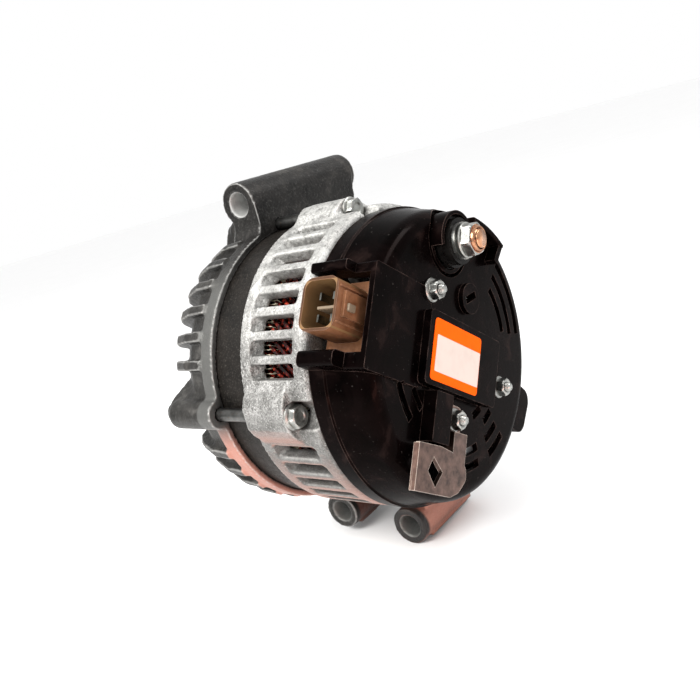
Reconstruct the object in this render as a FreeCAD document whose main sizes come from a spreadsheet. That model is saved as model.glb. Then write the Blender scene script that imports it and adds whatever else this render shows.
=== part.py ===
"""Car alternator with hairpin stator, internal fans and a plastic rear cover.

Frame: the Y axis is the shaft, pointing to the rear cover. X runs along the mounting bores
and Z is up. The origin is the centre of the pulley's belt track on the shaft axis.
Angles about the shaft are measured from +X toward +Z. All sizes are in millimetres.
"""
import FreeCAD, Part
import math
import os
import re

import Sketcher

Vector = FreeCAD.Vector
Rotation = FreeCAD.Rotation
Placement = FreeCAD.Placement

doc = FreeCAD.newDocument("alternator")

# ---------------------------------------------------------------- driving dimensions
SIZES = {
    # places along the shaft
    "nose_face": 13,
    "floor_face": 15,
    "front_bearing_face": 16,
    "front_bearing_back": 30,
    "stator_front": 41,
    "flange_back": 48,
    "rear_housing_front": 65,
    "stator_back": 71,
    "window_front": 73.5,
    "window_back": 93.5,
    "rear_bearing_face": 86,
    "rear_bearing_back": 97,
    "housing_back": 100,
    "cover_step": 107,
    "cover_back": 125.5,
    "label_face": 130,
    # stator
    "stator_radius": 62,
    "stator_bore": 49,
    "slot_count": 96,
    "slot_width": 1.6,
    "slot_bottom": 57.6,
    "bar_width": 1.3,
    "coil_front": 29,
    "coil_back": 92,
    "coil_inner": 50.2,
    "coil_outer": 57.2,
    # housings
    "flange_radius": 65,
    "rear_radius": 64.7,
    "inner_radius": 58.6,
    "boss_radius": 31,
    "fin_thickness": 4.4,
    "fin_start": 18.5,
    "fin_pitch": 10.6,
    "fin_count": 6,
    "vent_angle": 5.4,
    "window_start": 15.25,
    "window_pitch": 8.5,
    "window_angle": 5.3,
    "window_count": 8,
    "bolt_circle": 64.8,
    "bolt_radius": 2.8,
    "bolt_clearance": 3.1,
    "bolt_flange": 5.3,
    "lug_boss": 6.5,
    "lug_radius": 69.6,
    "bolt_pad": 89.5,
    # mounting ear and feet
    "ear_y": 38,
    "ear_z": 77.8,
    "ear_radius": 9.8,
    "ear_bore": 5.25,
    "ear_near": 12,
    "ear_far": 63.5,
    "foot_radius": 9,
    "foot_bore": 5.25,
    "foot_near": 10,
    "foot_far": 34,
    "front_foot_y": 44,
    "front_foot_z": -78,
    "rear_foot_y": 84,
    "rear_foot_z": -81.4,
    # rotor
    "shaft_radius": 8.5,
    "thread_radius": 8,
    "rear_shaft_radius": 7.5,
    "tail_radius": 4,
    "pole_radius": 48.6,
    "pole_front": 38,
    "pole_back": 74,
    "pole_pairs": 8,
    "core_radius": 26,
    "fan_outer": 46.5,
    "fan_blades": 11,
    # pulley
    "pulley_radius": 27,
    "pulley_half": 12,
    "rib_count": 6,
    "rib_pitch": 3.56,
    "rib_depth": 2.6,
    # bearings
    "front_bearing_outer": 23.5,
    "front_ball": 4,
    "front_ball_circle": 16,
    "front_ball_count": 7,
    "rear_bearing_outer": 17.5,
    "rear_ball": 3,
    "rear_ball_circle": 12.5,
    "rear_ball_count": 8,
    "ball_gap": 0.3,
    # slip rings and brushes
    "ring_radius": 7.2,
    "ring_core": 6,
    "inner_ring_front": 103,
    "outer_ring_front": 112,
    "ring_width": 6,
    "brush_gap": 0.3,
    "brush_length": 13,
    "brush_thickness": 5,
    "brush_width": 8,
    "spring_radius": 1.9,
    "spring_wire": 0.4,
    "spring_turns": 6,
    "holder_end": 30,
    # rear cover
    "cover_radius": 63.4,
    "cover_wall": 2.3,
    "connector_angle": 35,
    "hood_back": 126.5,
    "hood_near": 60,
    "hood_top": 18.5,
    "hood_bottom": -21,
    "flange_reach": 65.5,
    # connector
    "shell_front": 102,
    "shell_back": 119,
    "shell_top": 10.5,
    "shell_bottom": -9.5,
    "shell_mouth": 70,
    "shell_wall": 1.1,
    "shell_floor": 55,
    # output terminal
    "terminal_x": -11,
    "terminal_z": 42.7,
    "terminal_radius": 4,
    "terminal_washer": 131.5,
    "terminal_tip": 141,
    "insulator_radius": 10.5,
    # fastenings of the cover
    "stud_radius": 2,
    "upper_stud_x": 8.8,
    "upper_stud_z": 28.9,
    "lower_stud_x": 18,
    "lower_stud_z": -22.6,
    "side_stud_x": -24,
    "side_stud_z": -26.2,
    # rectifier
    "negative_plate": 101,
    "positive_plate": 113.5,
    "plate_thickness": 3,
    "negative_diode_circle": 46.5,
    "positive_diode_circle": 32,
    "diode_radius": 6.2,
}

sheet = doc.addObject("Spreadsheet::Sheet", "Dims")
for row, (alias, size) in enumerate(SIZES.items(), start=1):
    sheet.set(f"A{row}", alias)
    sheet.set(f"B{row}", str(size))
    sheet.setAlias(f"B{row}", alias)
doc.recompute()

NODES = []


# ---------------------------------------------------------------- helpers
def bound(expression):
    """The expression with every alias read from the sheet."""
    return re.sub(r"[a-z]\w+",
                  lambda word: "Dims." + word.group() if word.group() in SIZES else word.group(),
                  str(expression))


def value(expression):
    """The number that an expression gives with the sheet's sizes."""
    return float(sheet.evalExpression(str(expression)))


def new_body(label):
    """A PartDesign body that becomes one node."""
    body = doc.addObject("PartDesign::Body", label)
    body.Label = label
    NODES.append(body)
    return body


def origin_feature(body, role):
    return next(item for item in body.Origin.OriginFeatures if item.Role == role)


def bind_point(sketch, geometry, corner, x, y):
    """Ties one sketch point to the expressions x and y."""
    for kind, axis, size in (("DistanceX", -2, x), ("DistanceY", -1, y)):
        number = value(size)
        if abs(number) < 1e-9:
            sketch.addConstraint(Sketcher.Constraint("PointOnObject", geometry, corner, axis))
            continue
        index = sketch.addConstraint(Sketcher.Constraint(kind, -1, 1, geometry, corner, number))
        sketch.setExpression(f"Constraints[{index}]", bound(size))


def draw(sketch, outline):
    """Draws a closed outline of (x, y) corners; a third value rounds that corner."""
    corners = [Vector(value(point[0]), value(point[1]), 0) for point in outline]
    count = len(corners)
    ends = []
    for index, point in enumerate(outline):
        here = corners[index]
        radius = value(point[2]) if len(point) > 2 else 0
        if not radius:
            ends.append((here, here, None))
            continue
        before = (corners[index - 1] - here).normalize()
        after = (corners[(index + 1) % count] - here).normalize()
        half = before.getAngle(after) / 2
        run = radius / math.tan(half)
        centre = here + (before + after).normalize() * (radius / math.sin(half))
        middle = centre + (here - centre).normalize() * radius
        ends.append((here + before * run, here + after * run, middle))
    lines = [sketch.addGeometry(Part.LineSegment(ends[index][1], ends[(index + 1) % count][0]), False)
             for index in range(count)]
    for index, point in enumerate(outline):
        into, out = lines[index - 1], lines[index]
        first, last, middle = ends[index]
        if middle is None:
            sketch.addConstraint(Sketcher.Constraint("Coincident", into, 2, out, 1))
            bind_point(sketch, out, 1, point[0], point[1])
            continue
        arc = sketch.addGeometry(Part.Arc(first, middle, last), False)
        starts_first = sketch.getPoint(arc, 1).distanceToPoint(first) < 1e-6
        sketch.addConstraint(Sketcher.Constraint("Tangent", into, 2, arc, 1 if starts_first else 2))
        sketch.addConstraint(Sketcher.Constraint("Tangent", out, 1, arc, 2 if starts_first else 1))
        size = sketch.addConstraint(Sketcher.Constraint("Radius", arc, value(point[2])))
        sketch.setExpression(f"Constraints[{size}]", bound(point[2]))
        corner = sketch.addGeometry(Part.Point(corners[index]), True)
        bind_point(sketch, corner, 1, point[0], point[1])
        sketch.addConstraint(Sketcher.Constraint("PointOnObject", corner, 1, into))
        sketch.addConstraint(Sketcher.Constraint("PointOnObject", corner, 1, out))


def draw_circle(sketch, x, y, radius):
    """Draws a circle whose centre and radius are tied to the sheet."""
    circle = sketch.addGeometry(Part.Circle(Vector(value(x), value(y), 0), Vector(0, 0, 1),
                                            value(radius)), False)
    bind_point(sketch, circle, 3, x, y)
    index = sketch.addConstraint(Sketcher.Constraint("Radius", circle, value(radius)))
    sketch.setExpression(f"Constraints[{index}]", bound(radius))


def fill(sketch, shapes):
    """Draws each shape: a list is an outline, a tuple of three is a circle."""
    for shape in shapes:
        if isinstance(shape, list):
            draw(sketch, shape)
        else:
            draw_circle(sketch, *shape)
    return sketch


def radial_sketch(body, name, shapes, turn=0, drop=0):
    """A sketch in the half plane at this angle: x is the radius, y runs along the shaft.

    The radius counts from a line this far below the shaft.
    """
    sketch = body.newObject("Sketcher::SketchObject", name)
    sketch.AttachmentSupport = (origin_feature(body, "XY_Plane"), [""])
    sketch.MapMode = "FlatFace"
    sketch.AttachmentOffset = Placement(Vector(0, 0, -drop), Rotation(Vector(0, -1, 0), turn))
    return fill(sketch, shapes)


def cross_sketch(body, name, shapes, level, turn=0):
    """A sketch square to the shaft at this level, turned by this angle."""
    sketch = body.newObject("Sketcher::SketchObject", name)
    sketch.AttachmentSupport = (origin_feature(body, "XZ_Plane"), [""])
    sketch.MapMode = "FlatFace"
    sketch.AttachmentOffset = Placement(Vector(), Rotation(Vector(0, 0, 1), turn))
    sketch.setExpression("AttachmentOffset.Base.z", bound(f"-({level})"))
    return fill(sketch, shapes)


def side_sketch(body, name, shapes, reach, turn=0):
    """A sketch facing away from the shaft at this reach and angle: x is along the shaft."""
    sketch = body.newObject("Sketcher::SketchObject", name)
    sketch.AttachmentSupport = (origin_feature(body, "YZ_Plane"), [""])
    sketch.MapMode = "FlatFace"
    sketch.AttachmentOffset = Placement(Vector(), Rotation(Vector(-1, 0, 0), turn))
    sketch.setExpression("AttachmentOffset.Base.y", bound(f"({reach}) * sin({turn})"))
    sketch.setExpression("AttachmentOffset.Base.z", bound(f"({reach}) * cos({turn})"))
    return fill(sketch, shapes)


def turning_axis(body, feature, drop):
    """The shaft axis, or the upright axis of a profile that is dropped below it."""
    if drop:
        return (feature.Profile[0], ["V_Axis"])
    return (origin_feature(body, "Y_Axis"), [""])


def turned(body, name, outline, turn=0, angle=360, drop=0):
    """Adds a turned solid about the shaft axis, or about a line dropped below it."""
    feature = body.newObject("PartDesign::Revolution", name)
    feature.Profile = radial_sketch(body, name + "Profile", [outline], turn, drop)
    feature.ReferenceAxis = turning_axis(body, feature, drop)
    feature.Angle = angle
    feature.Midplane = angle < 360
    return feature


def turned_cut(body, name, outline, turn=0, angle=360, drop=0):
    """Removes a turned ring, or a sector of one centred on the given angle."""
    feature = body.newObject("PartDesign::Groove", name)
    feature.Profile = radial_sketch(body, name + "Profile", [outline], turn, drop)
    feature.ReferenceAxis = turning_axis(body, feature, drop)
    feature.setExpression("Angle", bound(angle))
    feature.Midplane = value(angle) < 360
    return check_cut(body, feature)


def check_cut(body, feature):
    """Stops if a cut removed nothing from its body."""
    doc.recompute()
    failed = [item.Name for item in body.Group if {"Invalid", "Error"} & set(item.State)]
    if failed or not feature.Shape.Volume < feature.BaseFeature.Shape.Volume - 1e-3:
        raise RuntimeError(f"{body.Label}: {feature.Name} removes nothing; failed: {failed}")
    return feature


def pad(body, name, sketch, length, symmetric=False, reverse=False):
    """Adds material to a sketch; a cross sketch grows toward the pulley unless reversed."""
    feature = body.newObject("PartDesign::Pad", name)
    feature.Profile = sketch
    feature.setExpression("Length", bound(length))
    feature.SideType = "Symmetric" if symmetric else "One side"
    feature.Reversed = reverse
    return feature


def pocket(body, name, sketch, length, reverse=False):
    """Cuts a sketch; a cross sketch cuts toward the rear unless reversed."""
    feature = body.newObject("PartDesign::Pocket", name)
    feature.Profile = sketch
    feature.setExpression("Length", bound(length))
    feature.Reversed = reverse
    return check_cut(body, feature)


def around(body, name, features, count, extent=360):
    """Repeats features about the shaft, toward +Z from +X, over the extent."""
    pattern = body.newObject("PartDesign::PolarPattern", name)
    pattern.Originals = features
    pattern.Axis = (origin_feature(body, "Y_Axis"), [""])
    pattern.Reversed = True
    pattern.setExpression("Angle", bound(extent))
    pattern.setExpression("Occurrences", bound(count))
    body.Tip = pattern
    return pattern


def turned_part(label, outline):
    """A node that is a plain turned ring or disc."""
    body = new_body(label)
    turned(body, "Turning", outline)
    return body


def ring_outline(inner, outer, front, back):
    return [(inner, front), (outer, front), (outer, back), (inner, back)]


def box_outline(left, right, low, high, corner=0):
    """A rectangle, with rounded corners if a corner radius is given."""
    points = [(left, low), (right, low), (right, high), (left, high)]
    return [point + (corner,) for point in points] if corner else points


def place(item, x, y, z, rotation=None):
    """Puts a primitive at the point given by three expressions."""
    item.Placement = Placement(Vector(), rotation or Rotation())
    for axis, size in zip("xyz", (x, y, z)):
        item.setExpression(f"Placement.Base.{axis}", bound(size))
    return item


ALONG_SHAFT = Rotation(Vector(1, 0, 0), -90)


def rod(name, radius, length, x, y, z, rotation=ALONG_SHAFT):
    """A cylinder that starts at the point and runs along the shaft toward the rear."""
    item = doc.addObject("Part::Cylinder", name)
    item.setExpression("Radius", bound(radius))
    item.setExpression("Height", bound(length))
    return place(item, x, y, z, rotation)


def hexagon(name, across_flats, length, x, y, z):
    """A hexagonal prism along the shaft."""
    item = doc.addObject("Part::Prism", name)
    item.Polygon = 6
    item.setExpression("Circumradius", bound(f"({across_flats}) / 2 / cos(30)"))
    item.setExpression("Height", bound(length))
    return place(item, x, y, z, ALONG_SHAFT)


def block(name, sizes, corner, rotation=None):
    """A box of three sizes with its lowest corner at the point."""
    item = doc.addObject("Part::Box", name)
    for side, size in zip(("Length", "Width", "Height"), sizes):
        item.setExpression(side, bound(size))
    return place(item, *corner, rotation)


def joined(name, pieces):
    item = doc.addObject("Part::MultiFuse", name)
    item.Shapes = pieces
    item.Refine = True
    return item


def cut(name, base, tool):
    item = doc.addObject("Part::Cut", name)
    item.Base = base
    item.Tool = tool
    return item


def node(label, item):
    """Names an object as a node of its own."""
    item.Label = label
    NODES.append(item)
    return item


def group(label, pieces):
    """Several separate solids of the same kind in one node."""
    item = doc.addObject("Part::Compound", label)
    item.Links = pieces
    return node(label, item)


def polar(radius, angle):
    """The x and z expressions of a point at this radius and angle about the shaft."""
    return f"({radius}) * cos({angle})", f"({radius}) * sin({angle})"


def in_quadrants(body, name, features, count, extent):
    """Repeats features over an extent, and that row in each quarter of the housing."""
    pattern = body.newObject("PartDesign::MultiTransform", name)
    pattern.Originals = features
    steps = []
    for suffix, number, span in (("Row", count, extent), ("Quarters", 4, 360)):
        step = body.newObject("PartDesign::PolarPattern", name + suffix)
        step.Axis = (origin_feature(body, "Y_Axis"), [""])
        step.Reversed = True
        step.setExpression("Angle", bound(span))
        step.setExpression("Occurrences", bound(number))
        steps.append(step)
    pattern.Transformations = steps
    body.Tip = pattern
    return pattern


def bevel_rims(body, name, size, radius, axis, level):
    """Chamfers every circular edge of this radius whose centre is at this level of an axis."""
    doc.recompute()
    base = body.Tip
    edges = [f"Edge{index}" for index, edge in enumerate(base.Shape.Edges, start=1)
             if edge.Curve.TypeId == "Part::GeomCircle"
             and abs(edge.Curve.Radius - value(radius)) < 1e-3
             and abs(edge.Curve.Center[axis] - value(level)) < 1e-3]
    chamfer = body.newObject("PartDesign::Chamfer", name)
    chamfer.Base = (base, edges)
    chamfer.setExpression("Size", bound(size))
    return chamfer


def bored_tube(body, name, centre, radius, bore, near, far):
    """A tube along X with its centre at (shaft position, height), open at both ends."""
    sketch = side_sketch(body, name + "Section", [(*centre, radius)], f"-({far})")
    pad(body, name, sketch, f"{near} + {far}")
    hole = side_sketch(body, name + "BoreSection", [(*centre, bore)], f"{near} + 1")
    pocket(body, name + "Bore", hole, f"{near} + {far} + 2")
    bevel_rims(body, name + "Mouth", 0.8, bore, 0, near)


# ---------------------------------------------------------------- housings and stator
def drive_end_housing():
    body = new_body("drive_end_housing")
    turned(body, "Bell", [
        (0, "nose_face"), ("boss_radius", "nose_face"), ("boss_radius", "floor_face"),
        (44, "floor_face"), (54, 20), (61, 30), (62.5, 40),
        ("flange_radius - 1.7", 40), ("flange_radius", 41.7), ("flange_radius", "flange_back"),
        (0, "flange_back")])
    fin = pad(body, "Fin", radial_sketch(body, "FinProfile", [[
        (40, 14.3), (56, 15.3, 2), (61, 20, 3), (65, 30, 4), (66, 41), (60, 41), (52, 24), (40, 18),
    ]], value("fin_start")), "fin_thickness", symmetric=True)
    in_quadrants(body, "Fins", [fin], "fin_count", "(fin_count - 1) * fin_pitch")
    boss = pad(body, "LugBoss", cross_sketch(
        body, "LugBossCircle", [("bolt_circle", 0, "lug_boss")], "flange_back"), "flange_back - 22")
    nose = pad(body, "LugNose", cross_sketch(
        body, "LugNoseCircle", [("bolt_circle", 0, "lug_boss")], 22), 6.5)
    nose.TaperAngle = -32
    flank = pad(body, "LugFlank", cross_sketch(body, "LugOutline", [[
        (48, -13), (63, -7, 3), (68.5, -3.5, 2), (68.5, 3.5, 2), (63, 7, 3), (48, 13)]],
        "flange_back"), 30)
    around(body, "Lugs", [boss, nose, flank], 4)
    web = cross_sketch(body, "EarWebOutline", [[
        ("ear_near", "ear_z"), ("3 - ear_far", "ear_z"), ("6 - ear_far", 60), (-50, 40), (0, 40),
        (16, 60), ("ear_near", 68, 6)]], "flange_back")
    pad(body, "EarWeb", web, 17)
    web = cross_sketch(body, "FootWebOutline", [[
        (4, "front_foot_z - foot_radius"), (4, -66, 2), (18, -60), (18, -50), ("-foot_far", -45),
        ("-foot_far", -60), (-16, "front_foot_z - foot_radius", 12)]], "flange_back + 2")
    pad(body, "FootWeb", web, 13)
    turned_cut(body, "Cavity", [
        ("stator_radius", "flange_back + 20"), ("stator_radius", "stator_front"),
        ("inner_radius", "stator_front"), (58.2, 31), (50.5, 23.5), (42, 19.5), (32, 19.5),
        (32, "front_bearing_back"), ("front_bearing_outer", "front_bearing_back"),
        ("front_bearing_outer", "front_bearing_face"), (15.5, "front_bearing_face"),
        (15.5, "nose_face - 1"), (0, "nose_face - 1"), (0, "flange_back + 20")])
    vent = turned_cut(body, "Vent", ring_outline(36, 50, 11, 28),
                      value("fin_start + fin_pitch / 2"), 4.6)
    in_quadrants(body, "Vents", [vent], "fin_count - 1", "(fin_count - 2) * fin_pitch")
    thread = pocket(body, "BoltThread", cross_sketch(
        body, "BoltThreadCircle", [("bolt_circle", 0, "bolt_radius")], 26), 30)
    around(body, "BoltThreads", [thread], 4)
    screw = pocket(body, "RetainerThread", cross_sketch(
        body, "RetainerThreadCircle", [(27.75, 0, 2)], 23, 45), 8)
    around(body, "RetainerThreads", [screw], 4)
    bored_tube(body, "Ear", ("ear_y", "ear_z"), "ear_radius", "ear_bore", "ear_near", "ear_far")
    bored_tube(body, "Foot", ("front_foot_y", "front_foot_z"), "foot_radius", "foot_bore",
               "foot_near", "foot_far")


def slip_ring_end_housing():
    body = new_body("slip_ring_end_housing")
    turned(body, "Shell", [
        (0, "rear_housing_front"), ("rear_radius", "rear_housing_front"),
        ("rear_radius", "housing_back", 3), (0, "housing_back")])
    lug = pad(body, "Lug", cross_sketch(body, "LugOutline", [[
        (50, -20), (63, -13, 3), (67.5, -8, 3), ("lug_radius", -4, 2), ("lug_radius", 4, 2),
        (67.5, 8, 3), (63, 13, 3), (50, 20)]], "bolt_pad"), "bolt_pad - rear_housing_front - 2")
    around(body, "Lugs", [lug], 4)
    web = cross_sketch(body, "FootWebOutline", [[
        (3, "rear_foot_z - 8"), (3, -55), (-52, -38), ("-foot_far", -66, 6),
        ("-foot_far", "rear_foot_z - 8")]], "rear_foot_y + 7")
    pad(body, "FootWeb", web, 14)
    turned_cut(body, "Cavity", [
        ("stator_radius", "rear_housing_front - 1"), ("stator_radius", "stator_back"),
        ("inner_radius", "stator_back"), ("inner_radius", 93), (56.5, 95), (22, 95),
        (22, "rear_bearing_face - 2"), ("rear_bearing_outer", "rear_bearing_face - 2"),
        ("rear_bearing_outer", "rear_bearing_back"), (12, "rear_bearing_back"),
        (12, "housing_back + 1"), (0, "housing_back + 1"), (0, "rear_housing_front - 1")])
    window = turned_cut(body, "Window", [
        (70, 70.5), (63.4, 70.5), ("inner_radius + 0.3", "window_front"), (56, "window_front"),
        (56, "window_back"), (70, "window_back")], value("window_start"), "window_angle")
    in_quadrants(body, "Windows", [window], "window_count", "(window_count - 1) * window_pitch")
    inlet = turned_cut(body, "Inlet", ring_outline(39, 54, 94, 101), 11.25, 14)
    around(body, "Inlets", [inlet], 16, "360 - 360 / 16")
    hole = pocket(body, "BoltHole", cross_sketch(
        body, "BoltHoleCircle", [("bolt_circle", 0, "bolt_clearance")], 64), 30)
    seat = pocket(body, "BoltSeat", cross_sketch(
        body, "BoltSeatCircle", [("bolt_circle", 0, "bolt_flange + 0.35")], "bolt_pad"), 12)
    around(body, "BoltHoles", [hole, seat], 4)
    studs = [(f"{stud}_stud_x", f"{stud}_stud_z", "stud_radius") for stud in ("upper", "lower", "side")]
    pocket(body, "StudThreads", cross_sketch(body, "StudCircles", studs, 94), 7)
    screws = [(*polar(27.5, angle), 1.9) for angle in RECTIFIER_SCREW_ANGLES]
    pocket(body, "RectifierThreads", cross_sketch(body, "RectifierScrewCircles", screws, 94), 7)
    screws = [(18, side * 10.5, 1.9) for side in (-1, 1)]
    pocket(body, "RegulatorThreads", cross_sketch(
        body, "RegulatorScrewCircles", screws, 95.5, value("connector_angle")), 7)
    bored_tube(body, "Foot", ("rear_foot_y", "rear_foot_z"), "foot_radius", "foot_bore",
               "foot_near", "foot_far")


def stator_core():
    body = new_body("stator_core")
    pad(body, "Stack", cross_sketch(body, "StackRing", [
        (0, 0, "stator_radius"), (0, 0, "stator_bore")], "stator_back"), "stator_back - stator_front")
    slot = pocket(body, "Slot", cross_sketch(body, "SlotOutline", [box_outline(
        "stator_bore - 1", "slot_bottom", "-slot_width / 2", "slot_width / 2")],
        "stator_front"), "stator_back - stator_front")
    around(body, "Slots", [slot], "slot_count")


def stator_winding():
    body = new_body("stator_winding")
    turned(body, "FrontCoilEnd", [
        ("coil_inner", "coil_front"), ("coil_outer - 2", "coil_front"),
        ("coil_outer", "coil_front + 3"), ("coil_outer", "stator_front"),
        ("coil_inner", "stator_front")])
    bar = pad(body, "SlotBar", cross_sketch(body, "BarOutline", [box_outline(
        "coil_inner", "coil_outer", "-bar_width / 2", "bar_width / 2")],
        "stator_back"), "stator_back - stator_front")
    around(body, "SlotBars", [bar], "slot_count")
    turned(body, "RearCoilEnd", [
        ("coil_inner", "stator_back"), ("coil_outer", "stator_back"),
        ("coil_outer", "coil_back - 3"), ("coil_outer - 2", "coil_back"),
        ("coil_inner", "coil_back")])


def through_bolts():
    bolts = []
    for angle in (0, 90, 180, 270):
        x, z = polar("bolt_circle", angle)
        bolts.append(joined(f"Bolt{angle}", [
            rod(f"BoltShank{angle}", "bolt_radius", "bolt_pad - 27", x, 27, z),
            rod(f"BoltFlange{angle}", "bolt_flange", 1.3, x, "bolt_pad", z),
            hexagon(f"BoltHead{angle}", 8, 2.9, x, "bolt_pad + 1.3", z)]))
    group("through_bolts", bolts)


# ---------------------------------------------------------------- rotor
def rotor_shaft():
    turned_part("rotor_shaft", [
        (0, -11.5), ("thread_radius", -11.5), ("thread_radius", -2), ("shaft_radius", -2),
        ("shaft_radius", "front_bearing_back"), (11, "front_bearing_back"), (11, "pole_front"),
        (10, "pole_front"), (10, "rear_bearing_face"), ("rear_shaft_radius", "rear_bearing_face"),
        ("rear_shaft_radius", "rear_bearing_back"), ("tail_radius", "rear_bearing_back"),
        ("tail_radius", 119.5), (0, 119.5)])


def pole_piece(label, face, side, turn):
    """Half of the claw rotor: a disc, its share of the core and eight claws."""
    body = new_body(label)
    turned(body, "Disc", [
        (10, face), (36, face), (36, f"{face} + {side * 12}"), ("core_radius", f"{face} + {side * 12}"),
        ("core_radius", f"{face} + {side * 18}"), (10, f"{face} + {side * 18}")])
    root = pad(body, "ClawRoot", side_sketch(body, "ClawRootOutline", [[
        (face, -11.5), (f"{face} + {side * 12}", -8.8), (f"{face} + {side * 12}", 8.8), (face, 11.5)]],
        30, turn), 20)
    claw = pad(body, "Claw", side_sketch(body, "ClawOutline", [[
        (face, -11.5), (f"{face} + {side * 34}", -4), (f"{face} + {side * 34}", 4), (face, 11.5)]],
        40, turn), 10)
    around(body, "Claws", [root, claw], "pole_pairs")
    turned_cut(body, "OutsideTurning", ring_outline(
        "pole_radius", "pole_radius + 8", "pole_front - 2", "pole_back + 2"))


def fan(label, bore, disc_face, disc_back, blade_level, blade_height):
    """A stamped fan: a disc with curved blades standing on it."""
    body = new_body(label)
    turned(body, "Disc", ring_outline(bore, "fan_outer", disc_face, disc_back))
    blade = pad(body, "Blade", cross_sketch(body, "BladeOutline", [[
        (33, -0.8), (40, -3.2), (45, -8), (45.4, -6.2), (40, -1.6), (33, 0.8)]],
        blade_level), blade_height)
    around(body, "Blades", [blade], "fan_blades")


def field_winding():
    turned_part("field_bobbin", [
        ("core_radius", 50), (38, 50), (38, 51), (28.5, 51), (28.5, 61), (38, 61), (38, 62),
        ("core_radius", 62)])
    turned_part("field_coil", ring_outline(28.5, 37.5, 51, 61))


def slip_rings():
    turned_part("slip_ring_insulator", ring_outline("tail_radius", "ring_core", 99, 119.5))
    for label, front in (("slip_ring_inner", "inner_ring_front"),
                         ("slip_ring_outer", "outer_ring_front")):
        turned_part(label, ring_outline("ring_core", "ring_radius", front, f"{front} + ring_width"))


def bearing(label, rings, front, back, ball, circle, count, cage):
    """Four nodes: outer ring, inner ring, balls and cage."""
    middle = f"({front} + {back}) / 2"
    for name, (inner, outer) in zip(("inner", "outer"), rings):
        body = new_body(f"{label}_{name}")
        turned(body, "Ring", ring_outline(inner, outer, front, back))
        raceway = body.newObject("PartDesign::Groove", "Raceway")
        raceway.Profile = radial_sketch(body, "RacewayCircle", [(circle, middle, f"{ball} + ball_gap")])
        raceway.ReferenceAxis = (origin_feature(body, "Y_Axis"), [""])
        raceway.Angle = 360
        check_cut(body, raceway)
    balls = []
    for index in range(int(value(count))):
        item = doc.addObject("Part::Sphere", f"{label}_ball_{index}")
        item.setExpression("Radius", bound(ball))
        x, z = polar(circle, f"{index} * 360 / {count}")
        balls.append(place(item, x, middle, z))
    group(f"{label}_balls", balls)
    body = new_body(f"{label}_cage")
    turned(body, "Ring", ring_outline(*cage, f"{middle} - {ball} - 1", f"{middle} + {ball} + 1"))
    hole = pocket(body, "Pocket", side_sketch(
        body, "PocketCircle", [(middle, 0, ball)], f"{circle} + 3"), 6)
    around(body, "Pockets", [hole], count)


def bearing_retainer():
    body = new_body("bearing_retainer")
    turned(body, "Plate", ring_outline(14.5, 31, "front_bearing_back", "front_bearing_back + 2"))
    hole = pocket(body, "Hole", cross_sketch(
        body, "HoleCircle", [(27.75, 0, 2)], "front_bearing_back - 1", 45), 4)
    around(body, "Holes", [hole], 4)
    screws = []
    for angle in (45, 135, 225, 315):
        x, z = polar(27.75, angle)
        screws.append(joined(f"RetainerScrew{angle}", [
            rod(f"RetainerShank{angle}", 2, 9, x, 23, z),
            rod(f"RetainerHead{angle}", 3.2, 2.1, x, 32, z)]))
    group("retainer_screws", screws)


def pulley():
    outline = [
        ("shaft_radius", "pulley_half"), ("shaft_radius", -2), (17.5, -2), (17.5, "-pulley_half"),
        ("pulley_radius", "-pulley_half")]
    for rib in range(int(value("rib_count"))):
        start = f"({rib} - rib_count / 2) * rib_pitch"
        outline.append(("pulley_radius", f"{start} + 0.5"))
        outline.append(("pulley_radius - rib_depth", f"{start} + rib_pitch / 2"))
        outline.append(("pulley_radius", f"{start} + rib_pitch - 0.5"))
    outline += [("pulley_radius", "pulley_half"), (21, "pulley_half"), (21, 4), (14, 4),
                (14, "pulley_half")]
    turned_part("pulley", outline)
    node("pulley_nut", cut("NutBored", hexagon("NutHexagon", 24, 8, 0, -10, 0),
                           rod("NutBore", "thread_radius", 10, 0, -11, 0)))
    turned_part("pulley_spacer", ring_outline("shaft_radius", 12.5, "pulley_half", "front_bearing_face"))


# ---------------------------------------------------------------- parts under the rear cover
RECTIFIER_SCREW_ANGLES = (131, 195)
NEGATIVE_DIODE_ANGLES = [128 + 33 * index for index in range(6)]
POSITIVE_DIODE_ANGLES = [115 + 32 * index for index in range(6)]


def local(u, v):
    """The x and z expressions of a point given along and across the connector's direction."""
    return (f"({u}) * cos(connector_angle) - ({v}) * sin(connector_angle)",
            f"({u}) * sin(connector_angle) + ({v}) * cos(connector_angle)")


def local_block(name, u, v, y):
    """A box square to the connector's direction; u, v and y are its ranges."""
    x, z = local(u[0], v[0])
    sizes = [f"({high}) - ({low})" for low, high in (u, y, v)]
    return block(name, sizes, (x, y[0], z), Rotation(Vector(0, 1, 0), -value("connector_angle")))


def local_rod(name, radius, length, u, v, y):
    x, z = local(u, v)
    return rod(name, radius, length, x, y, z)


def rectifier_plate(label, inner, outer, level, thickness, holes, centre=210, angle=215):
    """A crescent plate around the slip rings, with its holes as (x, z, radius)."""
    body = new_body(label)
    turned(body, "Crescent", ring_outline(inner, outer, level, f"{level} + {thickness}"), centre, angle)
    pocket(body, "Holes", cross_sketch(body, "HoleCircles", holes, f"{level} - 1"), f"{thickness} + 2")


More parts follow.
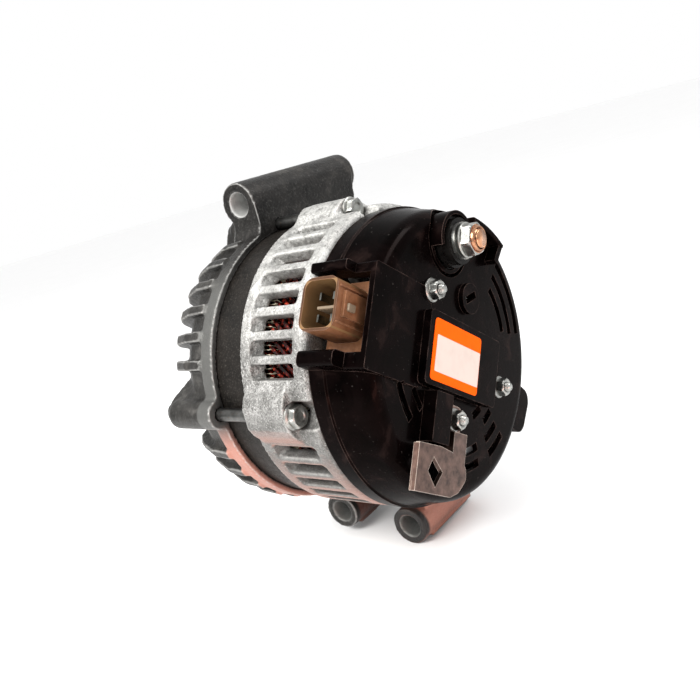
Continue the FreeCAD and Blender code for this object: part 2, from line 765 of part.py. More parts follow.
def rectifier():
    studs = [(f"{stud}_stud_x", f"{stud}_stud_z", 3) for stud in ("lower", "side")]
    screws = [(*polar(27.5, angle), 1.9) for angle in RECTIFIER_SCREW_ANGLES]
    negative = [polar("negative_diode_circle", angle) for angle in NEGATIVE_DIODE_ANGLES]
    positive = [polar("positive_diode_circle", angle) for angle in POSITIVE_DIODE_ANGLES]
    rectifier_plate("rectifier_plate_negative", 23, 56, "negative_plate", "plate_thickness",
                    studs + screws + [(*spot, "diode_radius") for spot in negative])
    rectifier_plate("rectifier_terminal_block", 24, 55, 109, 2.5,
                    studs + screws + [(*spot, 1) for spot in negative]
                    + [(*spot, "diode_radius + 0.3") for spot in positive])
    rectifier_plate("rectifier_plate_positive", 23, 54, "positive_plate", "plate_thickness",
                    studs + screws + [(*spot, 2) for spot in negative]
                    + [(*spot, "diode_radius") for spot in positive]
                    + [("terminal_x", "terminal_z", "terminal_radius")])
    group("diodes_negative", [joined(f"NegativeDiode{index}", [
        rod(f"NegativeCan{index}", "diode_radius", 7.6, x, "negative_plate", z),
        rod(f"NegativeLead{index}", 1, 12, x, "negative_plate + 7.6", z)])
        for index, (x, z) in enumerate(negative)])
    group("diodes_positive", [joined(f"PositiveDiode{index}", [
        rod(f"PositiveCan{index}", "diode_radius", 9, x, "positive_plate - 6", z),
        rod(f"PositiveLead{index}", 1, 2.5, x, "positive_plate - 8.5", z)])
        for index, (x, z) in enumerate(positive)])
    group("rectifier_screws", [joined(f"RectifierScrew{angle}", [
        rod(f"RectifierShank{angle}", 1.9, "positive_plate + plate_thickness - 96", x, 96, z),
        rod(f"RectifierHead{angle}", 3, 2.4, x, "positive_plate + plate_thickness", z)])
        for angle, (x, z) in ((angle, polar(27.5, angle)) for angle in RECTIFIER_SCREW_ANGLES)])


def output_terminal():
    """The threaded output stud on the positive plate, its insulator, washer and nut."""
    spot = ("terminal_x", "terminal_z")
    node("b_plus_stud", joined("TerminalStud", [
        rod("TerminalHead", 6.5, 2, spot[0], "positive_plate - 2", spot[1]),
        rod("TerminalShank", "terminal_radius", "terminal_tip - positive_plate", spot[0],
            "positive_plate", spot[1])]))
    rings = (("Foot", "insulator_radius", "positive_plate + plate_thickness", 125),
             ("Groove", 9, 125, 126.5), ("Ring", "insulator_radius", 126.5, 128.5),
             ("Neck", 9.4, 128.5, "terminal_washer"))
    outside = joined("InsulatorOutside", [
        rod(f"Insulator{name}", radius, f"({back}) - ({front})", spot[0], front, spot[1])
        for name, radius, front, back in rings])
    node("b_plus_insulator", cut("InsulatorBored", outside, rod(
        "InsulatorBore", "terminal_radius", 30, spot[0], 110, spot[1])))
    disc = rod("WasherDisc", 7.5, 1.5, spot[0], "terminal_washer", spot[1])
    bore = rod("WasherBore", "terminal_radius", 4, spot[0], "terminal_washer - 1", spot[1])
    node("b_plus_washer", cut("TerminalWasher", disc, bore))
    nut = joined("TerminalNut", [
        rod("NutCollar", 6, 1.5, spot[0], "terminal_washer + 1.5", spot[1]),
        rod("NutFlange", 7.2, 1, spot[0], "terminal_washer + 2.5", spot[1]),
        hexagon("TerminalHexagon", 12, 4, spot[0], "terminal_washer + 3.5", spot[1]),
        rod("NutEnd", 5.3, 2.2, spot[0], "terminal_washer + 6.5", spot[1])])
    node("b_plus_nut", cut("TerminalNutBored", nut, rod(
        "TerminalNutBore", "terminal_radius", 12, spot[0], "terminal_washer", spot[1])))


def regulator():
    """Regulator, brush holder, brushes and springs, square to the connector's direction."""
    middles = {"positive": "outer_ring_front + ring_width / 2",
               "negative": "inner_ring_front + ring_width / 2"}
    node("regulator_body", local_block("RegulatorBox", ("holder_end + 1.5", 45), (-13, 13), (101, 121)))
    holder = joined("HolderOutside", [
        local_block("HolderBox", (10, "holder_end + 1.5"), (-6.5, 6.5), (101, 120.5)),
        local_block("HolderEars", (14, 22), (-14, 14), (101, 104))])
    slots = [local_block(f"BrushChannel{name}", (9, "holder_end"),
                         ("-brush_width / 2 - 0.3", "brush_width / 2 + 0.3"),
                         (f"{middle} - brush_thickness / 2 - 0.3",
                          f"{middle} + brush_thickness / 2 + 0.3"))
             for name, middle in middles.items()]
    bores = [local_rod(f"EarBore{side}", 1.9, 6, 18, side * 10.5, 100) for side in (-1, 1)]
    node("brush_holder", cut("HolderCut", holder, joined("HolderSpaces", slots + bores)))
    group("regulator_screws", [joined(f"RegulatorScrew{side}", [
        local_rod(f"RegulatorShank{side}", 1.9, 8, 18, side * 10.5, 96),
        local_rod(f"RegulatorHead{side}", 3.2, 2.4, 18, side * 10.5, 104)]) for side in (-1, 1)])
    start = "ring_radius + brush_gap"
    for name, middle in middles.items():
        node(f"brush_{name}", local_block(f"Brush_{name}", (start, f"{start} + brush_length"), (
            "-brush_width / 2", "brush_width / 2"),
            (f"{middle} - brush_thickness / 2", f"{middle} + brush_thickness / 2")))
        brush_spring(name, middle, f"{start} + brush_length")


def brush_spring(name, middle, start):
    """A coil spring between the brush's back and the end of its channel."""
    length = value(f"holder_end - ({start})")
    wire = value("spring_wire")
    pitch = (length - 2 * wire) / value("spring_turns")
    coil = Part.makeHelix(pitch, length - 2 * wire, value("spring_radius"))
    section = Part.Circle(Vector(value("spring_radius"), 0, 0), Vector(0, 1, 0), wire)
    profile = Part.Wire(section.toShape())
    spring = doc.addObject("Part::Feature", f"brush_spring_{name}")
    spring.Shape = Part.Wire(coil).makePipeShell([profile], True, True)
    x, z = (value(size) for size in local(start, 0))
    toward_connector = Rotation(Vector(0, 1, 0), 90 - value("connector_angle"))
    direction = toward_connector.multVec(Vector(0, 0, wire))
    spring.Placement = Placement(Vector(x, value(middle), z) + direction, toward_connector)
    node(f"brush_spring_{name}", spring)


def connector():
    turn = value("connector_angle")
    middle = "(shell_front + shell_back) / 2"
    outside = box_outline("shell_front", "shell_back", "shell_bottom", "shell_top", 4.5)
    inside = box_outline("shell_front + shell_wall", "shell_back - shell_wall",
                         "shell_bottom + shell_wall", "shell_top - shell_wall", 3.4)
    body = new_body("connector_shell")
    pad(body, "Tube", side_sketch(body, "TubeSection", [outside], 45, turn), "shell_mouth - 45")
    base = box_outline("shell_front - 0.5", "shell_back + 3", -14, 13.5, 2)
    pad(body, "Base", side_sketch(body, "BaseSection", [base], 45, turn), 8)
    panel = box_outline("shell_back - 1", "shell_back + 1.2", -4, 5.5)
    pad(body, "LatchPanel", side_sketch(body, "PanelSection", [panel], 50, turn), 17)
    pocket(body, "Socket", side_sketch(body, "SocketSection", [inside], "shell_mouth + 1", turn),
           "shell_mouth + 1 - shell_floor")
    group("connector_pins", [
        local_block(f"Pin{row}{column}", ("shell_floor", 66), (f"{v} - 1.4", f"{v} + 1.4"),
                    (f"{middle} + {offset} - 0.4", f"{middle} + {offset} + 0.4"))
        for row, offset in enumerate((-3.2, 3.2)) for column, v in enumerate((-3.6, 4.6))])


# ---------------------------------------------------------------- rear cover and what it carries
def rear_cover():
    turn = value("connector_angle")
    body = new_body("rear_cover")
    turned(body, "Dome", [
        (0, "housing_back"), ("cover_radius", "housing_back"), ("cover_radius", "cover_step"),
        ("cover_radius - 0.8", "cover_step + 0.6"), (58.8, "cover_back", 7), (0, "cover_back")],
        drop=COVER_DROP)
    hood = cross_sketch(body, "HoodOutline", [[
        (24, "hood_bottom", 2), ("hood_near", "hood_bottom", 1), ("hood_near", "hood_top", 1),
        (24, "hood_top", 2)]], "hood_back", turn)
    pad(body, "Hood", hood, "hood_back - housing_back")
    flange = cross_sketch(body, "TopFlangeOutline", [box_outline(
        50, "flange_reach", "hood_top - 4", "hood_top", 1)], 117, turn)
    pad(body, "TopFlange", flange, "117 - housing_back")
    flange = cross_sketch(body, "LowFlangeOutline", [box_outline(
        50, "flange_reach + 1", "hood_bottom", "hood_bottom + 6", 2)], 117, turn)
    pad(body, "LowFlange", flange, "117 - housing_back")
    label = cross_sketch(body, "LabelBlockOutline", [box_outline(-25, 28, -19, 10, 2)],
                         "label_face", turn)
    pad(body, "LabelBlock", label, "label_face - cover_back + 1")
    turned(body, "Shroud", [(53, 120), (56, 120), (56, 131, 1), (53.5, 131, 1)], 132, 26)
    wall = cross_sketch(body, "ShroudEndOutline", [box_outline(45.5, 55.5, -1.4, 1.4)], 130.5, 143.8)
    pad(body, "ShroudEnd", wall, 12)
    lobe = cross_sketch(body, "LobeOutline", [box_outline(40, 67.6, -10.5, 10.5, 6)], 124, 227.5)
    pad(body, "Lobe", lobe, 12)
    boss = cross_sketch(body, "BossOutline", [(-15, 17.5, 6.5)], "cover_back + 2.2")
    pad(body, "Boss", boss, 3.2)
    turned_cut(body, "Inside", [
        (0, "housing_back - 1"), ("cover_radius - cover_wall", "housing_back - 1"),
        ("cover_radius - cover_wall", "cover_step - 1"),
        ("cover_radius - cover_wall - 1.4", "cover_step"),
        (56.4, "cover_back - cover_wall", 5), (0, "cover_back - cover_wall")], drop=COVER_DROP)
    inside = cross_sketch(body, "HoodInside", [box_outline(
        26.5, "hood_near + 12", "hood_bottom + 6", "hood_top - 4")], "housing_back - 1", turn)
    pocket(body, "HoodSpace", inside, "hood_back - housing_back - cover_wall + 1")
    hollow = cross_sketch(body, "LabelBlockInside", [box_outline(-23, 24.2, -17, 8)],
                          "cover_back - cover_wall - 0.5", turn)
    pocket(body, "LabelBlockSpace", hollow, "label_face - cover_back + 0.8")
    floor = cross_sketch(body, "WellFloorOutline", [
        ("terminal_x", "terminal_z", "insulator_radius + 4")], 120)
    pad(body, "WellFloor", floor, 2.4)
    well = cross_sketch(body, "WellOutline", [
        ("terminal_x", "terminal_z", "insulator_radius + 3.5")], 120)
    pocket(body, "Well", well, 12)
    collar = cross_sketch(body, "CollarOutline", [
        ("terminal_x", "terminal_z", "insulator_radius + 2"),
        ("terminal_x", "terminal_z", "insulator_radius + 0.5")], 130.5)
    pad(body, "Collar", collar, 11.5)
    opening = cross_sketch(body, "CollarOpeningOutline", [
        box_outline(-28, 6, 27, "terminal_z + 2")], "cover_back")
    pocket(body, "CollarOpening", opening, 8)
    terminal = cross_sketch(body, "TerminalCircle", [(
        "terminal_x", "terminal_z", "insulator_radius + 0.4")], 110)
    pocket(body, "TerminalHole", terminal, 22)
    studs = [(f"{stud}_stud_x", f"{stud}_stud_z", 3) for stud in ("upper", "lower", "side")]
    pocket(body, "StudHoles", cross_sketch(body, "StudHoleCircles", studs, 110), 22)
    seat = cross_sketch(body, "NutSeatCircle", [("upper_stud_x", "upper_stud_z", 5.6)], "cover_back")
    pocket(body, "NutSeat", seat, 5)
    slot = cross_sketch(body, "BossSlotOutline", [box_outline(-19, -11, 16.5, 19.5)], 120)
    pocket(body, "BossSlot", slot, 10)
    for name, inner, outer, centre, angle in COVER_SLOTS:
        turned_cut(body, name, ring_outline(inner, outer, "cover_back - 4", "label_face + 3"),
                   centre, angle)


# the dome's own axis lies this far below the shaft
COVER_DROP = 1.6

# name, inner radius, outer radius, middle angle and spread
COVER_SLOTS = [
    ("SideSlotInner", 36.5, 39.5, 172, 32),
    ("SideSlotMiddle", 43, 46, 172, 38),
    ("SideSlotOuter", 49.5, 52.5, 172, 40),
    ("NearSlotInner", 34, 37, -9.5, 15),
    ("NearSlotOuter", 41.5, 45, -4.5, 21),
    ("LowSlotA", 33.5, 37, -106, 12),
    ("LowSlotB", 40, 43.5, -78, 16),
    ("LowSlotC", 40.5, 44, -103, 15),
    ("LowSlotD", 46.5, 50, -77, 15),
    ("LowSlotE", 47.5, 51, -103, 16),
    ("LowSlotF", 27, 30.5, -95, 14),
]


def cover_fastenings():
    nuts = []
    studs = []
    for stud, seat in (("upper", "cover_back"), ("lower", "cover_back + 1.8"), ("side", "cover_back")):
        x, z = f"{stud}_stud_x", f"{stud}_stud_z"
        studs.append(rod(f"Stud_{stud}", "stud_radius", f"{seat} + 6.4 - 95", x, 95, z))
        outside = joined(f"CoverNut_{stud}", [
            rod(f"CoverNutFlange_{stud}", 4.9, 1, x, seat, z),
            hexagon(f"CoverNutHexagon_{stud}", 7, 3.6, x, f"{seat} + 1", z)])
        nuts.append(cut(f"CoverNutBored_{stud}", outside, rod(
            f"CoverNutBore_{stud}", "stud_radius", 8, x, f"{seat} - 1", z)))
    group("cover_studs", studs)
    group("cover_nuts", nuts)


def harness_holder():
    """The clip block beside the label and the folded steel bracket under the lower nut."""
    turn = value("connector_angle")
    node("harness_clip", local_block("ClipBlock", (9.5, 21), (-40, -20.5), ("cover_back", 131.5)))
    body = new_body("harness_bracket")
    strip = cross_sketch(body, "StripOutline", [[
        (-4, -34.5), (9, -34.5), (9, -27, 4), (5, -23, 3), (-4, -23, 3)]], "cover_back + 1.8", turn)
    pad(body, "Strip", strip, 1.8)
    riser = cross_sketch(body, "RiserOutline", [box_outline(-2.6, 6.6, -46, -34)],
                         "cover_back + 6.3", turn)
    pad(body, "Riser", riser, 6.3)
    plate = cross_sketch(body, "PlateOutline", [[
        (0, -57, 4), (5.6, -59.2, 4), (29.6, -59), (29.4, -41.3), (15, -41), (7.3, -42),
        (-3.8, -46.6, 3), (-4.8, -51.5, 3)]], "cover_back + 6.3", turn)
    pad(body, "Plate", plate, 1.8)
    fold = cross_sketch(body, "FoldOutline", [box_outline(27.9, 29.5, -59, -41.6)],
                        "cover_back + 6.3", turn)
    pad(body, "Fold", fold, 2.6)
    hole = cross_sketch(body, "DiamondOutline", [[
        (12.4, -50.6), (16.6, -56.6), (22.4, -51), (19.4, -45.4)]], "cover_back", turn)
    pocket(body, "Diamond", hole, 10)
    hole = cross_sketch(body, "StripHole", [("lower_stud_x", "lower_stud_z", 2.4)], "cover_back - 1")
    pocket(body, "StudHole", hole, 6)


def rating_label():
    x, z = local(-9.3, -17)
    node("rating_label", block("LabelSheet", (34.4, 0.3, 24.2), (x, "label_face", z),
                               Rotation(Vector(0, 1, 0), -value("connector_angle"))))


# ---------------------------------------------------------------- the whole alternator
drive_end_housing()
slip_ring_end_housing()
stator_core()
stator_winding()
through_bolts()
rotor_shaft()
pole_piece("pole_piece_front", "pole_front", 1, 0)
pole_piece("pole_piece_rear", "pole_back", -1, 22.5)
fan("fan_front", 11, "pole_front - 1.5", "pole_front", "pole_front - 1.5", 5)
fan("fan_rear", 10, "pole_back", "pole_back + 1.5", "pole_back + 7.5", 6)
field_winding()
slip_rings()
bearing("front_bearing", (("shaft_radius", 12.8), (19.2, "front_bearing_outer")),
        "front_bearing_face", "front_bearing_back", "front_ball", "front_ball_circle",
        "front_ball_count", (14.4, 17.6))
bearing("rear_bearing", (("rear_shaft_radius", 10.4), (14.6, "rear_bearing_outer")),
        "rear_bearing_face", "rear_bearing_back", "rear_ball", "rear_ball_circle",
        "rear_ball_count", (11.3, 13.7))
bearing_retainer()
pulley()
rectifier()
output_terminal()
regulator()
connector()
rear_cover()
cover_fastenings()
harness_holder()
rating_label()

doc.recompute()
faults = [f"{item.Label}: {item.State}" for item in doc.Objects
          if {"Invalid", "Error"} & set(item.State)]
for part in NODES:
    if part.Shape.isNull() or not part.Shape.isValid():
        faults.append(f"{part.Label}: no valid shape")
if faults:
    raise RuntimeError("; ".join(faults))

os.makedirs("parts", exist_ok=True)
for part in NODES:
    part.Shape.exportStep(f"parts/{part.Label}.step")
    print(part.Label, len(part.Shape.Solids), "solids", round(part.Shape.Volume), "mm3")
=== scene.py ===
"""Looks of the car alternator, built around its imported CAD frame.

Frame: +Y along the shaft toward the rear cover, +X along the mounting bores, +Z up, metres.
"""

import math

import bmesh
import bpy
from mathutils import Matrix, Vector


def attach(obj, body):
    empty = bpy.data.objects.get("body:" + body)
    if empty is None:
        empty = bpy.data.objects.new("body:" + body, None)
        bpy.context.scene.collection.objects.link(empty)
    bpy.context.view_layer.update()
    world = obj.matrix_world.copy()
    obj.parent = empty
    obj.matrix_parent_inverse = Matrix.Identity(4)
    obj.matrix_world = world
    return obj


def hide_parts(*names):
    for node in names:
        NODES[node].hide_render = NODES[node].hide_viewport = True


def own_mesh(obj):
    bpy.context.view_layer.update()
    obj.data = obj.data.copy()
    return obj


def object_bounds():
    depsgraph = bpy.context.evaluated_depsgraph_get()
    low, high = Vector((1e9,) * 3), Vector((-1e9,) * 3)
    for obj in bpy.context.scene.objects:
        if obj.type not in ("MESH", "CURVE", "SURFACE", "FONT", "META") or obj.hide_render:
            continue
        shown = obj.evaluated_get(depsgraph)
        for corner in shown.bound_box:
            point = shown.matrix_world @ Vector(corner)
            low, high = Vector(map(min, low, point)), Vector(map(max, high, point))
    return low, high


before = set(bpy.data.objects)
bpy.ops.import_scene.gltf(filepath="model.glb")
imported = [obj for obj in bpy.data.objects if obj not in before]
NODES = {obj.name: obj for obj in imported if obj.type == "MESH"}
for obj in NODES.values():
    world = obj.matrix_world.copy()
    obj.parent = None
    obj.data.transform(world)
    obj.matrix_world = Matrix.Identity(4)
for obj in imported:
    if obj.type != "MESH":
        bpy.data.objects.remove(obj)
CAD_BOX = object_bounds()
MM = 0.001
# The connector points this far up from X; U runs along it and V across it.
CONNECTOR_TURN = math.radians(35)
U_DIR = Vector((math.cos(CONNECTOR_TURN), 0, math.sin(CONNECTOR_TURN)))
V_DIR = Vector((-math.sin(CONNECTOR_TURN), 0, math.cos(CONNECTOR_TURN)))
# The direction from which the warm light comes, and the number of bands that a wave texture of
# scale 1 makes in one unit.
WARM_SIDE = (0.725, 0.640, 0.252)
WAVES_PER_UNIT = 3.1831


# ---------------------------------------------------------------- shader helpers
class Shader:
    """One node material, with short calls for the textures it is made of."""

    def __init__(self, name, **sockets):
        self.material = bpy.data.materials.new(name)
        self.material.use_nodes = True
        self.tree = self.material.node_tree
        self.body = self.tree.nodes["Principled BSDF"]
        self.coords = self.tree.nodes.new("ShaderNodeTexCoord").outputs["Object"]
        for socket, setting in sockets.items():
            self.put(socket.replace("_", " "), setting)

    def put(self, socket, setting):
        """Sets a socket of the surface, or links a texture to it."""
        if isinstance(setting, bpy.types.NodeSocket):
            self.tree.links.new(setting, self.body.inputs[socket])
        else:
            self.body.inputs[socket].default_value = setting

    def link(self, source, target):
        """Links a texture to a socket, or sets the socket to a plain value."""
        if isinstance(source, bpy.types.NodeSocket):
            self.tree.links.new(source, target)
        else:
            target.default_value = source

    def noise(self, size, detail=4, roughness=0.55, distortion=0, stretch=None):
        """Noise whose blotches are about this many millimetres across."""
        texture = self.tree.nodes.new("ShaderNodeTexNoise")
        texture.inputs["Scale"].default_value = 1 / (size * MM)
        texture.inputs["Detail"].default_value = detail
        texture.inputs["Roughness"].default_value = roughness
        texture.inputs["Distortion"].default_value = distortion
        self.link(self.mapped(stretch), texture.inputs["Vector"])
        return texture.outputs["Fac"]

    def mapped(self, stretch):
        """Object coordinates, squeezed by a factor for each axis if asked."""
        if stretch is None:
            return self.coords
        mapping = self.tree.nodes.new("ShaderNodeMapping")
        mapping.inputs["Scale"].default_value = stretch
        self.link(self.coords, mapping.inputs["Vector"])
        return mapping.outputs["Vector"]

    def cells(self, size):
        """Distance to the nearest of cells this many millimetres across."""
        texture = self.tree.nodes.new("ShaderNodeTexVoronoi")
        texture.inputs["Scale"].default_value = 1 / (size * MM)
        self.link(self.coords, texture.inputs["Vector"])
        return texture.outputs["Distance"]

    def bands(self, pitch):
        """Bands across the shaft, this many millimetres from one to the next."""
        texture = self.tree.nodes.new("ShaderNodeTexWave")
        texture.bands_direction = "Y"
        texture.inputs["Scale"].default_value = 1 / (pitch * MM) / WAVES_PER_UNIT
        self.link(self.coords, texture.inputs["Vector"])
        return texture.outputs["Fac"]

    def place(self, axis):
        """Position along X, Y or Z, in millimetres."""
        split = self.tree.nodes.new("ShaderNodeSeparateXYZ")
        self.link(self.coords, split.inputs[0])
        return self.math("MULTIPLY", split.outputs[axis], 1 / MM)

    def underside(self):
        """1 on faces that look down, 0 on upright ones and those that look up."""
        geometry = self.tree.nodes.new("ShaderNodeNewGeometry")
        split = self.tree.nodes.new("ShaderNodeSeparateXYZ")
        self.link(geometry.outputs["Normal"], split.inputs[0])
        return self.step(self.math("MULTIPLY", split.outputs["Z"], -1), 0.25, 0.75)

    def lit_side(self, low, high):
        """1 on faces turned to the side that catches the warm light, 0 on those turned away."""
        geometry = self.tree.nodes.new("ShaderNodeNewGeometry")
        toward = self.tree.nodes.new("ShaderNodeVectorMath")
        toward.operation = "DOT_PRODUCT"
        self.link(geometry.outputs["Normal"], toward.inputs[0])
        toward.inputs[1].default_value = WARM_SIDE
        return self.step(toward.outputs["Value"], low, high)

    def edges(self, low, high):
        """1 on the sharp edges of a fine mesh, 0 elsewhere."""
        geometry = self.tree.nodes.new("ShaderNodeNewGeometry")
        return self.step(geometry.outputs["Pointiness"], low, high)

    def rims(self, width):
        """1 on edges and in corners this many millimetres wide, 0 on open faces."""
        rounded = self.tree.nodes.new("ShaderNodeBevel")
        rounded.samples = 6
        rounded.inputs["Radius"].default_value = width * MM
        geometry = self.tree.nodes.new("ShaderNodeNewGeometry")
        alike = self.tree.nodes.new("ShaderNodeVectorMath")
        alike.operation = "DOT_PRODUCT"
        self.link(rounded.outputs["Normal"], alike.inputs[0])
        self.link(geometry.outputs["Normal"], alike.inputs[1])
        return self.step(alike.outputs["Value"], 0.995, 0.90)

    def step(self, value, low, high, jitter=None):
        """0 below low and 1 above high, with the border broken up by a factor around 0.5."""
        if jitter is not None:
            spread = (high - low) * 1.2
            value = self.math("ADD", value, self.math("MULTIPLY_ADD", jitter, spread, -spread / 2))
        share = self.tree.nodes.new("ShaderNodeMapRange")
        self.link(value, share.inputs["Value"])
        share.inputs["From Min"].default_value = low
        share.inputs["From Max"].default_value = high
        return share.outputs["Result"]

    def ramp(self, factor, stops):
        """Turns a factor into a colour or a grey; stops are (place, colour or grey)."""
        node = self.tree.nodes.new("ShaderNodeValToRGB")
        elements = node.color_ramp.elements
        while len(elements) < len(stops):
            elements.new(0.5)
        for element, (place, colour) in zip(elements, stops):
            element.position = place
            grey = isinstance(colour, (int, float))
            element.color = (colour, colour, colour, 1) if grey else (*colour, 1)
        self.link(factor, node.inputs["Fac"])
        return node.outputs["Color"]

    def mix(self, factor, first, second):
        """The second colour over the first, by this factor."""
        node = self.tree.nodes.new("ShaderNodeMix")
        node.data_type = "RGBA"
        for socket, setting in ((0, factor), (6, first), (7, second)):
            if isinstance(setting, tuple):
                setting = (*setting, 1)
            self.link(setting, node.inputs[socket])
        return node.outputs[2]

    def math(self, operation, first, second=0.0, third=0.0):
        """One arithmetic step on textures or plain numbers."""
        node = self.tree.nodes.new("ShaderNodeMath")
        node.operation = operation
        for index, setting in enumerate((first, second, third)):
            self.link(setting, node.inputs[index])
        return node.outputs[0]

    def near_bore(self, level, height, inner, outer):
        """1 close to the mounting bore at this place along the shaft and height, 0 beyond."""
        along = self.math("POWER", self.math("SUBTRACT", self.place("Y"), level), 2)
        up = self.math("POWER", self.math("SUBTRACT", self.place("Z"), height), 2)
        return self.step(self.math("ADD", along, up), outer ** 2, inner ** 2)

    def hollows(self, distance):
        """1 on open faces, toward 0 deep in corners within this many millimetres."""
        node = self.tree.nodes.new("ShaderNodeAmbientOcclusion")
        node.samples = 8
        node.inputs["Distance"].default_value = distance * MM
        return node.outputs["AO"]

    def bump(self, height, depth, strength=1.0, under=None):
        """Relief of this many millimetres."""
        node = self.tree.nodes.new("ShaderNodeBump")
        node.inputs["Distance"].default_value = depth * MM
        node.inputs["Strength"].default_value = strength
        self.link(height, node.inputs["Height"])
        if under is not None:
            self.link(under, node.inputs["Normal"])
        self.put("Normal", node.outputs["Normal"])
        return node.outputs["Normal"]


# ---------------------------------------------------------------- materials
# Mounting bores, as place along the shaft and height, and the radii between which the clean
# face around a bore fades into the dirty skin.
EAR_BORE = (38, 77.8)
FRONT_FOOT_BORE = (44, -78)
REAR_FOOT_BORE = (84, -81.4)
CLEAN_FACE = (5.6, 5.9)


def cast_bright():
    """The rear casting: darker and browner toward the bottom, with painted light on top, painted
    shade from the middle down and in corners, painted warm reflections on the web and undersides,
    worn edges with painted highlights, and clean faces around its bore.
    """
    s = Shader("cast_aluminium_bright", Metallic=0.55)
    blotch = s.noise(7, 6, 0.65)
    grain = s.noise(0.8, 5, 0.75)
    colour = s.ramp(blotch, [(0.30, (0.095, 0.093, 0.088)), (0.50, (0.24, 0.238, 0.228)),
                             (0.70, (0.50, 0.495, 0.48))])
    colour = s.mix(s.ramp(grain, [(0.40, 0.8), (0.56, 0.0)]), colour, (0.030, 0.027, 0.024))
    fleck = s.ramp(s.noise(0.55, 3, 0.6), [(0.58, 0.0), (0.68, 0.6)])
    colour = s.mix(fleck, colour, (0.72, 0.71, 0.69))
    height = s.place("Z")
    # Painted light: the top of the casting is paler, in patches, where the key light falls.
    patches = s.ramp(s.noise(2.5, 5, 0.7), [(0.38, 0.12), (0.6, 0.5)])
    lit = s.math("MULTIPLY", s.step(height, 18, 52), patches)
    colour = s.mix(lit, colour, (0.66, 0.655, 0.63))
    # Painted shade: darker from the middle of the casting down, where less light falls.
    painted_lower_shade = s.math("MULTIPLY", s.step(height, 12, -22, blotch), 0.72)
    colour = s.mix(painted_lower_shade, colour, (0.085, 0.083, 0.078))
    # Darker and browner towards the bottom.
    lower_darkening = s.math("MULTIPLY", s.step(height, -30, -66, blotch), 0.78)
    colour = s.mix(lower_darkening, colour, (0.058, 0.040, 0.032))
    foot = s.step(height, -70, -75)
    colour = s.mix(foot, colour, (0.022, 0.020, 0.019))
    # Painted reflection: the web of the foot is tinted pink on faces turned to the warm light.
    web_warm_reflection = s.math("MULTIPLY", s.step(height, -60, -66), s.step(s.place("X"), 7.2, 5.8))
    web_warm_reflection = s.math("MULTIPLY", web_warm_reflection, s.lit_side(0.1, 0.6))
    colour = s.mix(s.math("MULTIPLY", web_warm_reflection, 0.88), colour, (0.40, 0.18, 0.13))
    # Painted reflection: faces that look down, below the middle and turned to the warm side, are
    # tinted pink.
    below = s.math("MULTIPLY", s.underside(), s.step(height, 8, -12))
    below = s.math("MULTIPLY", below, s.lit_side(-0.2, 0.2))
    colour = s.mix(s.math("MULTIPLY", below, 0.5), colour, (0.50, 0.24, 0.18))
    # Worn edges with painted highlights: sharp edges above the feet are made paler.
    worn_and_highlit_edges = s.math("MULTIPLY", s.edges(0.525, 0.58), s.step(height, -75, -66))
    colour = s.mix(s.math("MULTIPLY", worn_and_highlit_edges, 0.55), colour, (0.72, 0.71, 0.68))
    # Painted shade: darker in corners and hollows, from ambient occlusion.
    painted_corner_shade = s.ramp(s.hollows(4), [(0.15, 1.0), (0.7, 0.0)])
    colour = s.mix(s.math("MULTIPLY", painted_corner_shade, 0.85), colour, (0.040, 0.032, 0.027))
    colour = s.mix(s.near_bore(*REAR_FOOT_BORE, *CLEAN_FACE), colour, (0.20, 0.20, 0.19))
    s.put("Base Color", colour)
    s.put("Roughness", s.ramp(grain, [(0.35, 0.36), (0.7, 0.62)]))
    coarse = s.bump(s.noise(1.6, 6, 0.65), 0.6, 0.9)
    s.bump(s.cells(0.6), 0.14, 0.5, coarse)
    return s.material


